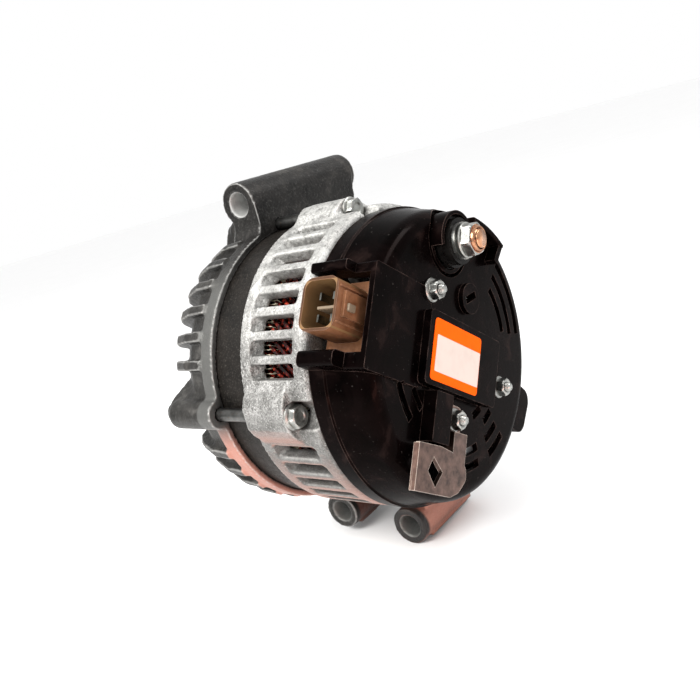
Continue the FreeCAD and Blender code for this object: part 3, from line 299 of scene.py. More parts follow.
def cast_dark():
    """The front casting: oily and nearly black, with worn edges and painted edge highlights,
    painted warm reflections on the flange and web, painted shade in corners, and clean faces at its
    bores.
    """
    s = Shader("cast_aluminium_oily", Metallic=0.3, Specular_IOR_Level=0.2)
    blotch = s.noise(9, 6, 0.62)
    grain = s.noise(1.1, 5, 0.7)
    fins = s.ramp(blotch, [(0.34, (0.010, 0.0095, 0.0085)), (0.55, (0.026, 0.0245, 0.0225)),
                           (0.76, (0.090, 0.086, 0.080))])
    ear = s.ramp(blotch, [(0.34, (0.004, 0.0036, 0.0033)), (0.55, (0.012, 0.011, 0.010)),
                          (0.76, (0.050, 0.046, 0.042))])
    height = s.place("Z")
    along = s.place("Y")
    colour = s.mix(s.step(height, 46, 62, blotch), fins, ear)
    colour = s.mix(s.ramp(grain, [(0.54, 0.0), (0.74, 0.3)]), colour, (0.16, 0.155, 0.145))
    band = s.math("MULTIPLY", s.step(along, 40.2, 41), s.step(height, -68, -65))
    rim = s.math("MULTIPLY", band, s.step(height, 58, 46))
    colour = s.mix(s.math("MULTIPLY", rim, 0.85), colour, (0.085, 0.085, 0.081))
    # Painted reflection: the lower flange band, on faces turned to the warm side, is tinted pink.
    flange_warm_reflection = s.math("MULTIPLY", band, s.step(height, -4, -18))
    flange_warm_reflection = s.math("MULTIPLY", flange_warm_reflection, s.lit_side(-0.2, 0.2))
    colour = s.mix(s.math("MULTIPLY", flange_warm_reflection, 0.85), colour, (0.40, 0.18, 0.135))
    # Painted reflection: the web of the foot is tinted reddish on faces turned to the warm light.
    web_warm_reflection = s.math("MULTIPLY", s.step(height, -60, -66), s.step(s.place("X"), 7.2, 5.8))
    web_warm_reflection = s.math("MULTIPLY", web_warm_reflection, s.lit_side(0.1, 0.6))
    colour = s.mix(s.math("MULTIPLY", web_warm_reflection, 0.6), colour, (0.14, 0.055, 0.04))
    # Worn edges with painted highlights: sharp edges are made paler.
    worn_and_highlit_edges = s.edges(0.52, 0.57)
    colour = s.mix(s.math("MULTIPLY", worn_and_highlit_edges, 0.75), colour, (0.42, 0.415, 0.40))
    # Painted shade: darker in corners and hollows, from ambient occlusion.
    painted_corner_shade = s.ramp(s.hollows(6), [(0.2, 1.0), (0.75, 0.0)])
    colour = s.mix(s.math("MULTIPLY", painted_corner_shade, 0.85), colour, (0.012, 0.010, 0.009))
    colour = s.mix(s.near_bore(*FRONT_FOOT_BORE, *CLEAN_FACE), colour, (0.20, 0.20, 0.19))
    s.put("Base Color", s.mix(s.near_bore(*EAR_BORE, *CLEAN_FACE), colour, (0.40, 0.40, 0.39)))
    s.put("Roughness", s.ramp(blotch, [(0.3, 0.34), (0.7, 0.55)]))
    coarse = s.bump(s.noise(1.8, 6, 0.6), 0.45, 0.7)
    s.bump(s.cells(0.7), 0.10, 0.4, coarse)
    return s.material


def laminations():
    """Stacked sheets under varnish, with lines across the shaft."""
    s = Shader("stator_laminations", Metallic=0.1, Specular_IOR_Level=0.12)
    blotch = s.noise(9, 5, 0.6)
    colour = s.ramp(blotch, [(0.3, (0.0035, 0.003, 0.0026)), (0.7, (0.011, 0.009, 0.0075))])
    fleck = s.ramp(s.noise(0.7, 4, 0.7), [(0.54, 0.0), (0.68, 0.5)])
    s.put("Base Color", s.mix(fleck, colour, (0.075, 0.068, 0.060)))
    s.put("Roughness", s.ramp(s.noise(3, 4), [(0.3, 0.34), (0.7, 0.55)]))
    s.bump(s.bands(0.5), 0.05, 0.6)
    return s.material


def cover_plastic():
    """Glossy black plastic with dust, paler patches painted as soft reflections, and edges worn
    paler with painted highlights.
    """
    s = Shader("cover_black_gloss", Metallic=0.0, Specular_IOR_Level=0.012,
               Specular_Tint=(0.9, 0.36, 0.26, 1), Coat_Weight=0.015, Coat_Roughness=0.06)
    patchiness = s.noise(12, 6, 0.6, 0.6)
    # Painted reflections: the paler patches of this noise stand in for soft reflections in the
    # gloss; the same noise varies the roughness.
    colour = s.ramp(patchiness, [(0.34, (0.0004, 0.0003, 0.0003)), (0.56, (0.0018, 0.0010, 0.0010)),
                            (0.74, (0.0110, 0.0065, 0.0058))])
    dust = s.ramp(s.noise(1.3, 2, 0.5), [(0.70, 0.0), (0.77, 0.35)])
    colour = s.mix(dust, colour, (0.06, 0.055, 0.05))
    # Worn edges with painted highlights: rims are made paler and pinkish-brown in patches.
    worn_and_highlit_edges = s.math("MULTIPLY", s.rims(0.45), s.ramp(s.noise(7, 4), [(0.42, 0.12), (0.60, 0.75)]))
    s.put("Base Color", s.mix(worn_and_highlit_edges, colour, (0.085, 0.058, 0.050)))
    s.put("Roughness", s.ramp(patchiness, [(0.3, 0.16), (0.7, 0.34)]))
    waves = s.bump(s.noise(9, 2, 0.4), 0.25, 0.35)
    s.bump(s.noise(0.5, 3, 0.5), 0.02, 0.5, waves)
    return s.material


def moulded(name, low, high, roughness, shade_in_corners=0.8, spec=0.25):
    """Moulded resin between two tones, with painted shade in its corners."""
    s = Shader(name, Metallic=0.0, Specular_IOR_Level=spec)
    blotch = s.noise(5, 5, 0.6)
    colour = s.ramp(blotch, [(0.3, low), (0.7, high)])
    # Painted shade: darker in corners, from ambient occlusion.
    painted_corner_shade = s.ramp(s.hollows(2), [(0.2, shade_in_corners), (0.7, 0.0)])
    s.put("Base Color", s.mix(painted_corner_shade, colour, tuple(part * 0.35 for part in low)))
    s.put("Roughness", s.ramp(s.noise(2, 4), [(0.3, roughness - 0.08), (0.7, roughness + 0.1)]))
    s.bump(s.noise(0.6, 4, 0.6), 0.05, 0.5)
    return s.material


def metal(name, low, high, roughness, brushed=None, spots=0.0, relief=0.03, rim=0.0):
    """Steel, copper or plate, with stains, worn rims with painted highlights, painted shade in
    hollows, and brushing along a direction.
    """
    s = Shader(name, Metallic=1.0)
    blotch = s.noise(4, 6, 0.6)
    fine = s.noise(0.7, 4, 0.6, stretch=brushed)
    colour = s.ramp(blotch, [(0.3, low), (0.7, high)])
    if spots:
        colour = s.mix(s.ramp(s.noise(1.2, 3), [(0.6, 0.0), (0.72, spots)]), colour,
                       (0.09, 0.055, 0.035))
    if rim:
        # Worn rims with painted highlights: edges are made paler and pinkish.
        worn_and_highlit_edges = s.math("MULTIPLY", s.rims(0.35), rim)
        colour = s.mix(worn_and_highlit_edges, colour, (0.52, 0.44, 0.38))
    # Painted shade: darker in hollows, from ambient occlusion.
    painted_corner_shade = s.ramp(s.hollows(1.5), [(0.2, 0.7), (0.8, 0.0)])
    s.put("Base Color", s.mix(painted_corner_shade, colour, tuple(part * 0.25 for part in low)))
    s.put("Roughness", s.ramp(fine, [(0.3, roughness - 0.07), (0.7, roughness + 0.12)]))
    s.bump(fine, relief, 0.6)
    return s.material


def enamel():
    """Red varnish over the bars, with painted shade nearly black over most of them and painted
    highlights in small bright red spots.
    """
    s = Shader("winding_red_enamel", Metallic=0.0, Specular_IOR_Level=0.2, Coat_Weight=0.12,
               Coat_Roughness=0.06)
    # Painted shade and highlights: most of the bar is nearly black, a few spots bright red.
    painted_highlight_and_shade = s.noise(1.8, 4, 0.6)
    s.put("Base Color", s.ramp(painted_highlight_and_shade, [(0.46, (0.006, 0.0006, 0.0005)),
                                      (0.58, (0.085, 0.004, 0.002)),
                                      (0.72, (0.60, 0.075, 0.035))]))
    s.put("Roughness", s.ramp(s.noise(1.5, 3), [(0.3, 0.22), (0.7, 0.38)]))
    s.bump(s.noise(1.2, 3), 0.06, 0.5)
    return s.material


def paper(name, colour, dirt):
    """A printed film in one colour, smeared with another."""
    s = Shader(name, Metallic=0.0, Specular_IOR_Level=0.005)
    patchiness = s.ramp(s.noise(6, 5, 0.6), [(0.45, 0.0), (0.8, 0.35)])
    s.put("Base Color", s.mix(patchiness, colour, dirt))
    s.put("Roughness", s.ramp(s.noise(3, 3), [(0.3, 0.30), (0.7, 0.45)]))
    s.bump(s.noise(2.5, 3), 0.03, 0.4)
    return s.material


# The connector's mouth: half width and half height inside, middle across and along the shaft.
SHELL_HALF = (8.9, 7.4)
SHELL_MIDDLE = (0.5, 110.5)
SHELL_MOUTH = 70


def connector_plastic():
    """Brown plastic, with painted light on the inside walls, darker on the rim of the mouth, and
    worn edges with painted highlights.
    """
    s = Shader("connector_plastic", Metallic=0.0, Specular_IOR_Level=0.12)
    blotch = s.noise(5, 5, 0.6)
    colour = s.ramp(blotch, [(0.3, (0.085, 0.034, 0.014)), (0.7, (0.200, 0.090, 0.045))])
    x, y, z = (s.place(axis) for axis in "XYZ")
    half_across, half_level = SHELL_HALF
    reach = s.math("MULTIPLY_ADD", x, U_DIR.x, s.math("MULTIPLY", z, U_DIR.z))
    across = s.math("MULTIPLY_ADD", x, V_DIR.x, s.math("MULTIPLY", z, V_DIR.z))
    off_middle = s.math("ABSOLUTE", s.math("SUBTRACT", across, SHELL_MIDDLE[0]))
    off_level = s.math("ABSOLUTE", s.math("SUBTRACT", y, SHELL_MIDDLE[1]))
    inside = s.math("MULTIPLY", s.step(off_middle, half_across + 0.09, half_across + 0.03),
                    s.step(off_level, half_level + 0.09, half_level + 0.03))
    rim = s.math("MULTIPLY", s.step(reach, SHELL_MOUTH - 0.4, SHELL_MOUTH - 0.05),
                 s.step(inside, 0.5, 0.4))
    # Painted light: the inside walls deep in the mouth are made paler, as if lit.
    inside = s.math("MULTIPLY", inside, s.step(reach, 50, 52))
    colour = s.mix(inside, colour, (0.165, 0.095, 0.042))
    colour = s.mix(s.math("MULTIPLY", rim, 0.7), colour, (0.030, 0.016, 0.009))
    # Worn edges with painted highlights: rims are made paler.
    worn_and_highlit_edges = s.math("MULTIPLY", s.rims(0.3), 0.35)
    s.put("Base Color", s.mix(worn_and_highlit_edges, colour, (0.42, 0.24, 0.16)))
    s.put("Roughness", s.ramp(s.noise(2, 4), [(0.3, 0.28), (0.7, 0.46)]))
    s.bump(s.noise(0.6, 4, 0.6), 0.05, 0.5)
    return s.material


BRIGHT = cast_bright()
DARK = cast_dark()
LAMINATED = laminations()
COVER = cover_plastic()
CONNECTOR_BROWN = connector_plastic()
KEY_RESIN = moulded("key_rib_resin", (0.11, 0.082, 0.056), (0.18, 0.135, 0.09), 0.4, shade_in_corners=0.1)
BLACK_RESIN = moulded("black_resin", (0.0018, 0.0016, 0.0015), (0.007, 0.0063, 0.0058), 0.28,
                      spec=0.06)
BOBBIN = moulded("bobbin_resin", (0.30, 0.27, 0.22), (0.42, 0.38, 0.31), 0.5)
CARBON = moulded("brush_carbon", (0.018, 0.017, 0.016), (0.05, 0.046, 0.043), 0.45)
CREAM = moulded("winding_tip_resin", (0.55, 0.48, 0.34), (0.80, 0.74, 0.58), 0.35, shade_in_corners=0.3)
ZINC = metal("zinc_plated_steel", (0.15, 0.155, 0.15), (0.38, 0.385, 0.365), 0.33,
             spots=0.5, rim=0.5)
GROUND = metal("ground_steel", (0.48, 0.48, 0.48), (0.66, 0.66, 0.66), 0.2, (1, 14, 1))
FORGED = metal("forged_steel", (0.13, 0.125, 0.12), (0.26, 0.25, 0.24), 0.4, (1, 10, 1), 0.3)
PRESSED = metal("pressed_steel", (0.22, 0.20, 0.185), (0.42, 0.39, 0.36), 0.34, spots=0.4)
PULLEY = metal("phosphated_steel", (0.06, 0.06, 0.06), (0.14, 0.14, 0.14), 0.36, (1, 12, 1))
BRACKET = metal("stained_steel", (0.028, 0.018, 0.015), (0.120, 0.074, 0.060), 0.36,
                spots=0.5, rim=0.8)
TINNED = metal("tinned_pins", (0.07, 0.072, 0.066), (0.17, 0.17, 0.155), 0.3)
SHANK = metal("oily_shank", (0.045, 0.044, 0.042), (0.13, 0.13, 0.125), 0.34, spots=0.5)
COPPER = metal("bare_copper", (0.45, 0.17, 0.07), (0.72, 0.34, 0.17), 0.28)
COPPER_TIP = metal("copper_plated", (0.20, 0.085, 0.045), (0.62, 0.33, 0.19), 0.22, relief=0.08)
PLATE = metal("aluminium_plate", (0.46, 0.46, 0.46), (0.64, 0.64, 0.64), 0.34)
SPRING = metal("spring_steel", (0.40, 0.40, 0.40), (0.60, 0.60, 0.60), 0.25)
ENAMEL = enamel()
ORANGE = paper("label_orange", (0.80, 0.098, 0.004), (0.50, 0.050, 0.004))
WHITE = paper("label_white", (0.52, 0.45, 0.41), (0.38, 0.31, 0.28))

NODE_MATERIALS = {
    "drive_end_housing": DARK, "slip_ring_end_housing": BRIGHT, "stator_core": LAMINATED,
    "stator_winding": ENAMEL, "through_bolts": ZINC, "rotor_shaft": GROUND,
    "pole_piece_front": FORGED, "pole_piece_rear": FORGED, "fan_front": PRESSED,
    "fan_rear": PRESSED, "field_bobbin": BOBBIN, "field_coil": COPPER,
    "slip_ring_insulator": BLACK_RESIN, "slip_ring_inner": COPPER, "slip_ring_outer": COPPER,
    "front_bearing_inner": GROUND, "front_bearing_outer": GROUND, "front_bearing_balls": GROUND,
    "front_bearing_cage": BLACK_RESIN, "rear_bearing_inner": GROUND, "rear_bearing_outer": GROUND,
    "rear_bearing_balls": GROUND, "rear_bearing_cage": BLACK_RESIN, "bearing_retainer": PRESSED,
    "retainer_screws": ZINC, "pulley": PULLEY, "pulley_nut": ZINC, "pulley_spacer": GROUND,
    "rectifier_plate_negative": PLATE, "rectifier_terminal_block": BLACK_RESIN,
    "rectifier_plate_positive": PLATE, "diodes_negative": ZINC, "diodes_positive": ZINC,
    "rectifier_screws": ZINC, "b_plus_stud": COPPER_TIP, "b_plus_insulator": BLACK_RESIN,
    "b_plus_washer": ZINC, "b_plus_nut": ZINC, "regulator_body": BLACK_RESIN,
    "brush_holder": BLACK_RESIN, "regulator_screws": ZINC, "brush_positive": CARBON,
    "brush_spring_positive": SPRING, "brush_negative": CARBON, "brush_spring_negative": SPRING,
    "connector_shell": CONNECTOR_BROWN, "connector_pins": TINNED, "rear_cover": COVER,
    "cover_studs": ZINC, "cover_nuts": ZINC, "harness_clip": COVER, "harness_bracket": BRACKET,
    "rating_label": ORANGE,
}
for node_name, material in NODE_MATERIALS.items():
    mesh = NODES[node_name].data
    mesh.materials.clear()
    mesh.materials.append(material)


# ---------------------------------------------------------------- mesh helpers
def add_piece(name, vertices, faces, material, slot, smooth=True):
    """A new piece from plain lists, riding on the stator frame."""
    data = bpy.data.meshes.new(name)
    data.from_pydata([tuple(v) for v in vertices], [], faces)
    data.materials.append(material)
    piece = bpy.data.objects.new(name, data)
    bpy.context.scene.collection.objects.link(piece)
    tool = bmesh.new()
    tool.from_mesh(data)
    bmesh.ops.recalc_face_normals(tool, faces=tool.faces)
    tool.to_mesh(data)
    tool.free()
    if smooth:
        data.polygons.foreach_set("use_smooth", [True] * len(data.polygons))
    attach(piece, "stator_frame")
    return piece


def sharpen(piece):
    """Keeps edges over 32 degrees crisp under smooth shading."""
    piece.data.set_sharp_from_angle(angle=math.radians(32))


def bevel(piece, width):
    """Breaks the edges over 35 degrees by this many millimetres."""
    modifier = piece.modifiers.new("Edges", "BEVEL")
    modifier.width = width * MM
    modifier.segments = 2
    modifier.limit_method = "ANGLE"
    modifier.angle_limit = math.radians(35)
    modifier.use_clamp_overlap = True
    modifier.harden_normals = False


def hexagonal(across, limit):
    """Radius by angle of a hexagon with corners at 0, 60 degrees and so on, cut off at a limit."""
    def radius(angle):
        turn = math.degrees(angle) % 60 - 30
        return min(across / 2 / math.cos(math.radians(turn)), limit)
    return radius


def turned_rings(centre, rings, steps=72):
    """Vertices and faces of a closed form about a line along Y through centre (x, z), in mm.

    Each ring is (y, radius), and the radius may be a function of the angle.
    """
    vertices, faces = [], []
    for y, radius in rings:
        for step in range(steps):
            angle = 2 * math.pi * step / steps
            size = radius(angle) if callable(radius) else radius
            vertices.append(((centre[0] + size * math.cos(angle)) * MM, y * MM,
                             (centre[1] + size * math.sin(angle)) * MM))
    for ring in range(len(rings) - 1):
        for step in range(steps):
            a = ring * steps + step
            b = ring * steps + (step + 1) % steps
            faces.append((a, b, b + steps, a + steps))
    return vertices, faces


def capped(centre, rings, steps=72):
    """As turned_rings, with both ends closed by a face."""
    vertices, faces = turned_rings(centre, rings, steps)
    faces.append(tuple(range(steps)))
    faces.append(tuple(range(len(vertices) - steps, len(vertices))))
    return vertices, faces


def looped(centre, rings, steps=72):
    """As turned_rings, with the last ring joined to the first, for a part with a bore."""
    vertices, faces = turned_rings(centre, rings, steps)
    last = (len(rings) - 1) * steps
    for step in range(steps):
        follow = (step + 1) % steps
        faces.append((last + step, last + follow, follow, step))
    return vertices, faces


def merged(parts):
    """Several (vertices, faces) as one."""
    vertices, faces = [], []
    for part_vertices, part_faces in parts:
        offset = len(vertices)
        vertices += part_vertices
        faces += [tuple(index + offset for index in face) for face in part_faces]
    return vertices, faces


def hex_rings(across, low, high, chamfer=0.5):
    """Rings of a hexagon from low to high whose far corners are turned off."""
    corner = across / 2 / math.cos(math.radians(30))
    return [(low, hexagonal(across, corner)), (high - chamfer, hexagonal(across, corner)),
            (high - chamfer * 0.4, hexagonal(across, corner - chamfer * 0.9)),
            (high, hexagonal(across, across / 2 - 0.25))]


def threaded_rod(centre, radius, pitch, low, high, steps=36):
    """A threaded rod with a chamfered free end and a closed foot."""
    depth = 0.55 * pitch
    tip = 0.7
    rows = int((high - low) / pitch * 8)
    rings = []
    for row in range(rows + 1):
        y = low + (high - low) * row / rows

        def radius_at(angle, y=y):
            phase = (y / pitch - angle / (2 * math.pi)) % 1
            groove = depth * (1 - abs(2 * phase - 1)) ** 0.8
            return min(radius - depth + groove, radius - max(0, y - high + tip) * 0.9)
        rings.append((y, radius_at))
    return capped(centre, rings, steps)


def swept_bar(points, width, thickness):
    """A flat bar along points given as (radius, angle, y) in mm and degrees.

    The width lies around the shaft, and the thickness along the radius.
    """
    places = []
    for radius, angle, y in points:
        turn = math.radians(angle)
        places.append(Vector((radius * math.cos(turn), y, radius * math.sin(turn))))
    vertices, faces = [], []
    for index, place in enumerate(places):
        before = places[max(index - 1, 0)]
        after = places[min(index + 1, len(places) - 1)]
        along = (after - before).normalized()
        outward = Vector((place.x, 0, place.z)).normalized()
        outward = (outward - along * outward.dot(along)).normalized()
        across = along.cross(outward)
        for side, rise in ((-1, -1), (1, -1), (1, 1), (-1, 1)):
            corner = place + across * (side * width / 2) + outward * (rise * thickness / 2)
            vertices.append(tuple(corner * MM))
    for index in range(len(places) - 1):
        base = index * 4
        for side in range(4):
            follow = (side + 1) % 4
            faces.append((base + side, base + follow, base + follow + 4, base + side + 4))
    faces.append((0, 1, 2, 3))
    end = len(vertices) - 4
    faces.append((end, end + 1, end + 2, end + 3))
    return vertices, faces


# ---------------------------------------------------------------- castings
CAST_VOXEL = 0.75


def recast(node_name, relief, relief_size):
    """A copy of a casting with its edges rounded off and a rough skin."""
    source = NODES[node_name]
    data = source.data.copy()
    piece = bpy.data.objects.new(node_name + "_casting", data)
    bpy.context.scene.collection.objects.link(piece)
    remesh = piece.modifiers.new("Skin", "REMESH")
    remesh.mode = "VOXEL"
    remesh.voxel_size = CAST_VOXEL * MM
    remesh.use_smooth_shade = True
    smooth = piece.modifiers.new("Round", "SMOOTH")
    smooth.factor = 0.5
    smooth.iterations = 3
    texture = bpy.data.textures.new(node_name + "_skin", "CLOUDS")
    texture.noise_scale = relief_size * MM
    texture.noise_depth = 2
    displace = piece.modifiers.new("Rough", "DISPLACE")
    displace.texture = texture
    displace.texture_coords = "LOCAL"
    displace.strength = relief * MM
    displace.mid_level = 0.62
    applied = bpy.data.meshes.new_from_object(
        piece.evaluated_get(bpy.context.evaluated_depsgraph_get()))
    piece.modifiers.clear()
    piece.data = applied
    applied.polygons.foreach_set("use_smooth", [True] * len(applied.polygons))
    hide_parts(node_name)
    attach(piece, "stator_frame")
    return piece


recast("drive_end_housing", 0.16, 1.4)
recast("slip_ring_end_housing", 0.22, 1.2)


# ---------------------------------------------------------------- windings
SLOT_COUNT = 96
SLOT_ANGLE = 360 / SLOT_COUNT
LAYERS = (51.15, 52.85, 54.55, 56.25)
BAR_WIDTH = 1.3
BAR_THICKNESS = 1.05
# Behind the core, each bar leans around by TWIST, one layer this way and the next that way.
TWIST = 3 * SLOT_ANGLE
CORE_REAR = 72.5
LEAN_LENGTH = 13.0
# In front of the core, each crown leans outward from CROWN_FOOT over CROWN_LENGTH, crosses
# between two layers at CROWN_TOP and leans back.
CROWN_FOOT = 40.0
CROWN_LENGTH = 8.6
CROWN_TOP = 30.2
HALF_TURN = 0.9


def winding():
    """Four layers of twisted bars behind the windows, hairpin crowns at the front end."""
    legs, crowns, tips, liners = [], [], [], []
    for index in range(SLOT_COUNT):
        middle = index * SLOT_ANGLE
        for layer, radius in enumerate(LAYERS):
            way = -1 if layer % 2 else 1
            path = [(radius, middle, 41.5), (radius, middle, CORE_REAR)]
            for step in range(1, 7):
                share = step / 6
                path.append((radius, middle + way * TWIST * share, CORE_REAR + LEAN_LENGTH * share))
            path.append((radius, middle + way * TWIST, 88.2))
            legs.append(swept_bar(path, BAR_WIDTH, BAR_THICKNESS))
        for side in (-1, 1):
            edge = middle + side * 0.95
            lip = (54.5, edge + side * 0.35, 75.6)
            liners.append(swept_bar([(54.2, edge, 71.0), (54.2, edge, 74.2), lip], 0.22, 6.2))
        for inner, outer in ((LAYERS[0], LAYERS[1]), (LAYERS[2], LAYERS[3])):
            path = [(inner, middle, 42)]
            for step in range(6):
                share = step / 5
                path.append((inner, middle + TWIST * share, CROWN_FOOT - CROWN_LENGTH * share))
            half = (inner + outer) / 2
            path.append((half, middle + TWIST + HALF_TURN, CROWN_TOP))
            for step in range(6):
                share = 1 - step / 5
                turned = middle + 2 * HALF_TURN + TWIST * (2 - share)
                path.append((outer, turned, CROWN_FOOT - CROWN_LENGTH * share))
            path.append((outer, middle + 2 * HALF_TURN + 2 * TWIST, 42))
            crowns.append(swept_bar(path, BAR_WIDTH, BAR_THICKNESS))
            turn = math.radians(middle)
            centre = (half * math.cos(turn), half * math.sin(turn))
            tips.append(capped(centre, [
                (87.0, 0.9), (87.6, 1.35), (89.6, 1.45),
                (90.8, 1.2), (91.5, 0.7), (91.7, 0.25)], 10))
    slot = "winding_enamel"
    piece = add_piece("winding_legs", *merged(legs), ENAMEL, slot=slot, smooth=False)
    add_piece("winding_crowns", *merged(crowns), ENAMEL, slot=slot, smooth=False)
    add_piece("winding_tips", *merged(tips), CREAM, slot=slot)
    add_piece("slot_liners", *merged(liners), CREAM, slot=slot, smooth=False)
    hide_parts("stator_winding")


winding()


# ---------------------------------------------------------------- bolts, studs and nuts
BOLT_CIRCLE = 64.8
BOLT_SEAT = 89.5
BOLT_RADIUS = 2.8
BOLT_HEXAGON = 8


def through_bolts():
    """Four flanged hexagon bolts, whose shanks run from the front casting to the rear one."""
    parts = []
    for angle in (0, 90, 180, 270):
        turn = math.radians(angle)
        centre = (BOLT_CIRCLE * math.cos(turn), BOLT_CIRCLE * math.sin(turn))
        parts.append(capped(centre, [(27, 2.4), (27.6, BOLT_RADIUS), (89.6, BOLT_RADIUS)], 32))
        head = [(BOLT_SEAT, 4.9), (89.8, 5.3), (90.4, 5.25), (90.8, 4.7)]
        head += hex_rings(BOLT_HEXAGON, 90.85, 93.7)
        head += [(93.65, 2.6), (93.2, 1.9)]
        parts.append(capped(centre, head))
    piece = add_piece("through_bolt_set", *merged(parts), ZINC, slot="zinc_steel")
    piece.data.materials.append(SHANK)
    for polygon in piece.data.polygons:
        polygon.material_index = int(polygon.center.y < (BOLT_SEAT - 0.5) * MM)
    sharpen(piece)
    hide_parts("through_bolts")


COVER_BACK = 125.5
# Each cover stud: X, Z, and how far its seat stands above the back of the cover.
STUDS = ((8.8, 28.9, 0), (18, -22.6, 1.8), (-24, -26.2, 0))
STUD_RADIUS = 2
STUD_PITCH = 0.7
NUT_HEXAGON = 7


def cover_hardware():
    """The three flanged nuts that hold the cover, on their threaded studs."""
    nuts, studs = [], []
    for x, z, lift in STUDS:
        seat = COVER_BACK + lift
        outside = [(seat, STUD_RADIUS), (seat, 4.6), (seat + 0.3, 4.9), (seat + 0.7, 4.8),
                   (seat + 1.1, 4.2)]
        outside += hex_rings(NUT_HEXAGON, seat + 1.15, seat + 4.6)
        outside += [(seat + 4.55, 2.6), (seat + 4.2, STUD_RADIUS)]
        nuts.append(looped((x, z), outside))
        studs.append(threaded_rod((x, z), STUD_RADIUS, STUD_PITCH, seat + 3.9, seat + 6.4))
        shank = [(95, STUD_RADIUS - 0.3), (95.4, STUD_RADIUS), (seat + 3.95, STUD_RADIUS)]
        studs.append(capped((x, z), shank, 32))
    piece = add_piece("cover_nut_set", *merged(nuts), ZINC, slot="zinc_steel")
    sharpen(piece)
    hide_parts("cover_nuts")
    piece = add_piece("cover_stud_set", *merged(studs), ZINC, slot="zinc_steel")
    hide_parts("cover_studs")


# The output stud: X and Z of its middle, its free end, and the underside of its washer.
TERMINAL = (-11, 42.7)
TERMINAL_RADIUS = 4
TERMINAL_PITCH = 1.25
TERMINAL_HEXAGON = 12
TERMINAL_END = 141
WASHER = 131.5


def terminal():
    """The flanged nut with its copper-coloured collar, and the threaded stud through it."""
    low = WASHER
    outside = [(low + 1.5, TERMINAL_RADIUS), (low + 1.5, 6.0), (low + 2.4, 6.1),
               (low + 2.5, 7.0), (low + 2.9, 7.2), (low + 3.4, 6.9)]
    outside += hex_rings(TERMINAL_HEXAGON, low + 3.5, low + 7.5, 0.6)
    outside += [(low + 7.45, 5.3), (low + 8.3, 5.2), (low + 8.7, 4.9), (low + 8.7, 4.4),
                (low + 8.2, TERMINAL_RADIUS)]
    piece = add_piece("terminal_nut", *looped(TERMINAL, outside), ZINC, slot="zinc_steel")
    piece.data.materials.append(COPPER_TIP)
    for polygon in piece.data.polygons:
        polygon.material_index = int(polygon.center.y > (low + 7.4) * MM)
    sharpen(piece)
    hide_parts("b_plus_nut")
    foot = [(111.5, 6.2), (111.8, 6.5), (113.5, 6.5), (113.5, TERMINAL_RADIUS),
            (WASHER + 1.5, TERMINAL_RADIUS)]
    thread = threaded_rod(TERMINAL, TERMINAL_RADIUS, TERMINAL_PITCH, WASHER + 1.4,
                          TERMINAL_END, steps=48)
    stud = merged([capped(TERMINAL, foot, 48), thread])
    piece = add_piece("terminal_stud", *stud, COPPER_TIP, slot="terminal_copper")
    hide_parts("b_plus_stud")


def brush_spring(side):
    """A copy of the coil behind one brush, riding on the stator frame, with its own mesh."""
    source = NODES["brush_spring_" + side]
    piece = bpy.data.objects.new("coil_spring_" + side, source.data.copy())
    bpy.context.scene.collection.objects.link(piece)
    piece.matrix_world = source.matrix_world.copy()
    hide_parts("brush_spring_" + side)
    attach(piece, "stator_frame")
    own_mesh(piece)


through_bolts()
cover_hardware()
terminal()
brush_spring("positive")
brush_spring("negative")


# ---------------------------------------------------------------- connector
def local_point(along, y, across):
    """A point given by its reach along the connector, its place on the shaft and its height."""
    place = U_DIR * along + V_DIR * across
    return (place.x * MM, y * MM, place.z * MM)


def local_box(reach, levels, heights):
    """A block square to the connector."""
    vertices = [local_point(a, y, b) for a in reach for y in levels for b in heights]
    faces = [(0, 1, 3, 2), (4, 5, 7, 6), (0, 1, 5, 4), (2, 3, 7, 6), (0, 2, 6, 4), (1, 3, 7, 5)]
    return vertices, faces


def connector_details():
    """The latch tab and rails on the outside and the key rib on the inside of the shell."""
    tab = add_piece("latch_tab", *local_box((61.8, 65.6), (119.6, 121.2), (-1.6, 1.2)),
                    KEY_RESIN, slot="grey_resin", smooth=False)
    bevel(tab, 0.35)
    rib = add_piece("key_rib", *local_box((60, 69.4), (109.6, 118.2), (-1.5, -0.4)),
                    KEY_RESIN, slot="grey_resin", smooth=False)
    bevel(rib, 0.2)
    lines = [local_box((54.5, 69.4), (118.8, 119.5), (low, low + 0.6)) for low in (-6.5, 6.6)]
    rails = add_piece("latch_rails", *merged(lines), CONNECTOR_BROWN, slot="grey_resin",
                      smooth=False)
    bevel(rails, 0.2)


connector_details()


# ---------------------------------------------------------------- label
LABEL_FACE = 130
LABEL_SIZE = (34.4, 24.2)
# The white panel: left, right, lower and upper edge on the label.
LABEL_PANEL = (0.2, 32.2, 3.6, 17.9)
LABEL_CORNER = U_DIR * -9.3 + V_DIR * -17


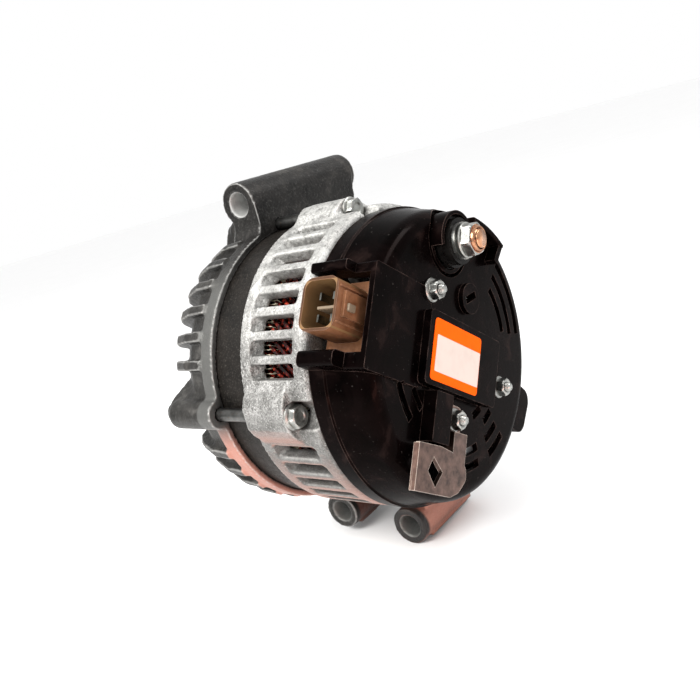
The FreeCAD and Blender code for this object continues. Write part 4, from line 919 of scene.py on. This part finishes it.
def label():
    """A blank label: an orange film with a white panel."""

    def sheet(name, left, right, low, high, radius, bottom, top, material):
        """A flat sheet with rounded corners, from bottom to top above the label's seat."""
        outline = []
        corners = ((right - radius, low + radius, -90), (right - radius, high - radius, 0),
                   (left + radius, high - radius, 90), (left + radius, low + radius, 180))
        for cx, cy, start in corners:
            for step in range(7):
                angle = math.radians(start + 15 * step)
                outline.append((cx + radius * math.cos(angle), cy + radius * math.sin(angle)))
        vertices = []
        for level in (bottom, top):
            for a, b in outline:
                place = LABEL_CORNER + U_DIR * a + V_DIR * b
                vertices.append((place.x * MM, (LABEL_FACE + level) * MM, place.z * MM))
        count = len(outline)
        faces = [tuple(range(count)), tuple(range(count, 2 * count))]
        faces += [(i, (i + 1) % count, (i + 1) % count + count, i + count) for i in range(count)]
        return add_piece(name, vertices, faces, material, slot="label_film", smooth=False)

    film = sheet("label_film_orange", 0, LABEL_SIZE[0], 0, LABEL_SIZE[1], 1.6, 0, 0.24, ORANGE)
    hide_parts("rating_label")
    sheet("label_panel_white", *LABEL_PANEL, 0.6, 0.2, 0.3, WHITE)


label()


# ---------------------------------------------------------------- edges of the CAD parts
for node_name, width in (("rear_cover", 0.5), ("connector_shell", 0.35), ("harness_clip", 0.6),
                         ("harness_bracket", 0.3), ("b_plus_insulator", 0.3), ("pulley", 0.25),
                         ("b_plus_washer", 0.25), ("fan_front", 0.2), ("fan_rear", 0.2),
                         ("pole_piece_front", 0.6), ("pole_piece_rear", 0.6), ("pulley_nut", 0.5)):
    bevel(NODES[node_name], width)


# ---------------------------------------------------------------- floor, lights and camera
def floor():
    """A pale floor just under the lowest point of the part."""
    data = bpy.data.meshes.new("floor")
    low = CAD_BOX[0][2] - 0.0003
    size = 6
    corners = [(-size, -size, low), (size, -size, low), (size, size, low), (-size, size, low)]
    data.from_pydata(corners, [], [(0, 1, 2, 3)])
    s = Shader("floor_pale", Roughness=0.7)
    s.put("Base Color", s.ramp(s.noise(60, 3), [(0.3, 0.955), (0.7, 0.975)]))
    data.materials.append(s.material)
    piece = bpy.data.objects.new("floor", data)
    bpy.context.scene.collection.objects.link(piece)


def light(name, place, target, size, power, colour):
    """A rectangular lamp at a place, aimed at a target."""
    lamp = bpy.data.lights.new(name, "AREA")
    lamp.shape = "RECTANGLE"
    lamp.size, lamp.size_y = size
    lamp.energy = power
    lamp.color = colour
    holder = bpy.data.objects.new(name, lamp)
    bpy.context.scene.collection.objects.link(holder)
    holder.location = place
    aim = Vector(target) - Vector(place)
    holder.rotation_euler = aim.to_track_quat("-Z", "Y").to_euler()


def camera():
    """The camera, set by its place, its forward direction and which way is up."""
    up = Vector((-0.358, 0.038, 0.933))
    forward = Vector((-0.725, -0.640, -0.252)).normalized()
    up = (up - forward * up.dot(forward)).normalized()
    right = forward.cross(up)
    lens = bpy.data.cameras.new("camera")
    lens.sensor_width = 36
    lens.lens = 38.55
    lens.clip_start = 0.01
    holder = bpy.data.objects.new("camera", lens)
    bpy.context.scene.collection.objects.link(holder)
    place = (0.2480, 0.2876, 0.0890)
    holder.matrix_world = Matrix([(right[i], up[i], -forward[i], place[i]) for i in range(3)]
                                 + [(0, 0, 0, 1)])
    bpy.context.scene.camera = holder


floor()
light("key", (0.60, 0.02, 0.55), (0, 0.06, 0), (0.45, 0.45), 12, (1.0, 0.99, 0.97))
light("rim", (-0.30, 0.50, 0.55), (0, 0.06, 0), (0.4, 0.2), 3, (1.0, 1.0, 1.0))
light("bounce", (0.18, 0.55, -0.10), (0, 0.10, -0.05), (0.30, 0.08), 1.2, (1.0, 0.45, 0.35))
view = bpy.context.scene.view_settings
view.view_transform = "Standard"
world = bpy.data.worlds.new("studio")
bpy.context.scene.world = world
world.use_nodes = True
world.node_tree.nodes["Background"].inputs["Color"].default_value = (1, 1, 1, 1)
world.node_tree.nodes["Background"].inputs["Strength"].default_value = 1.0
camera()
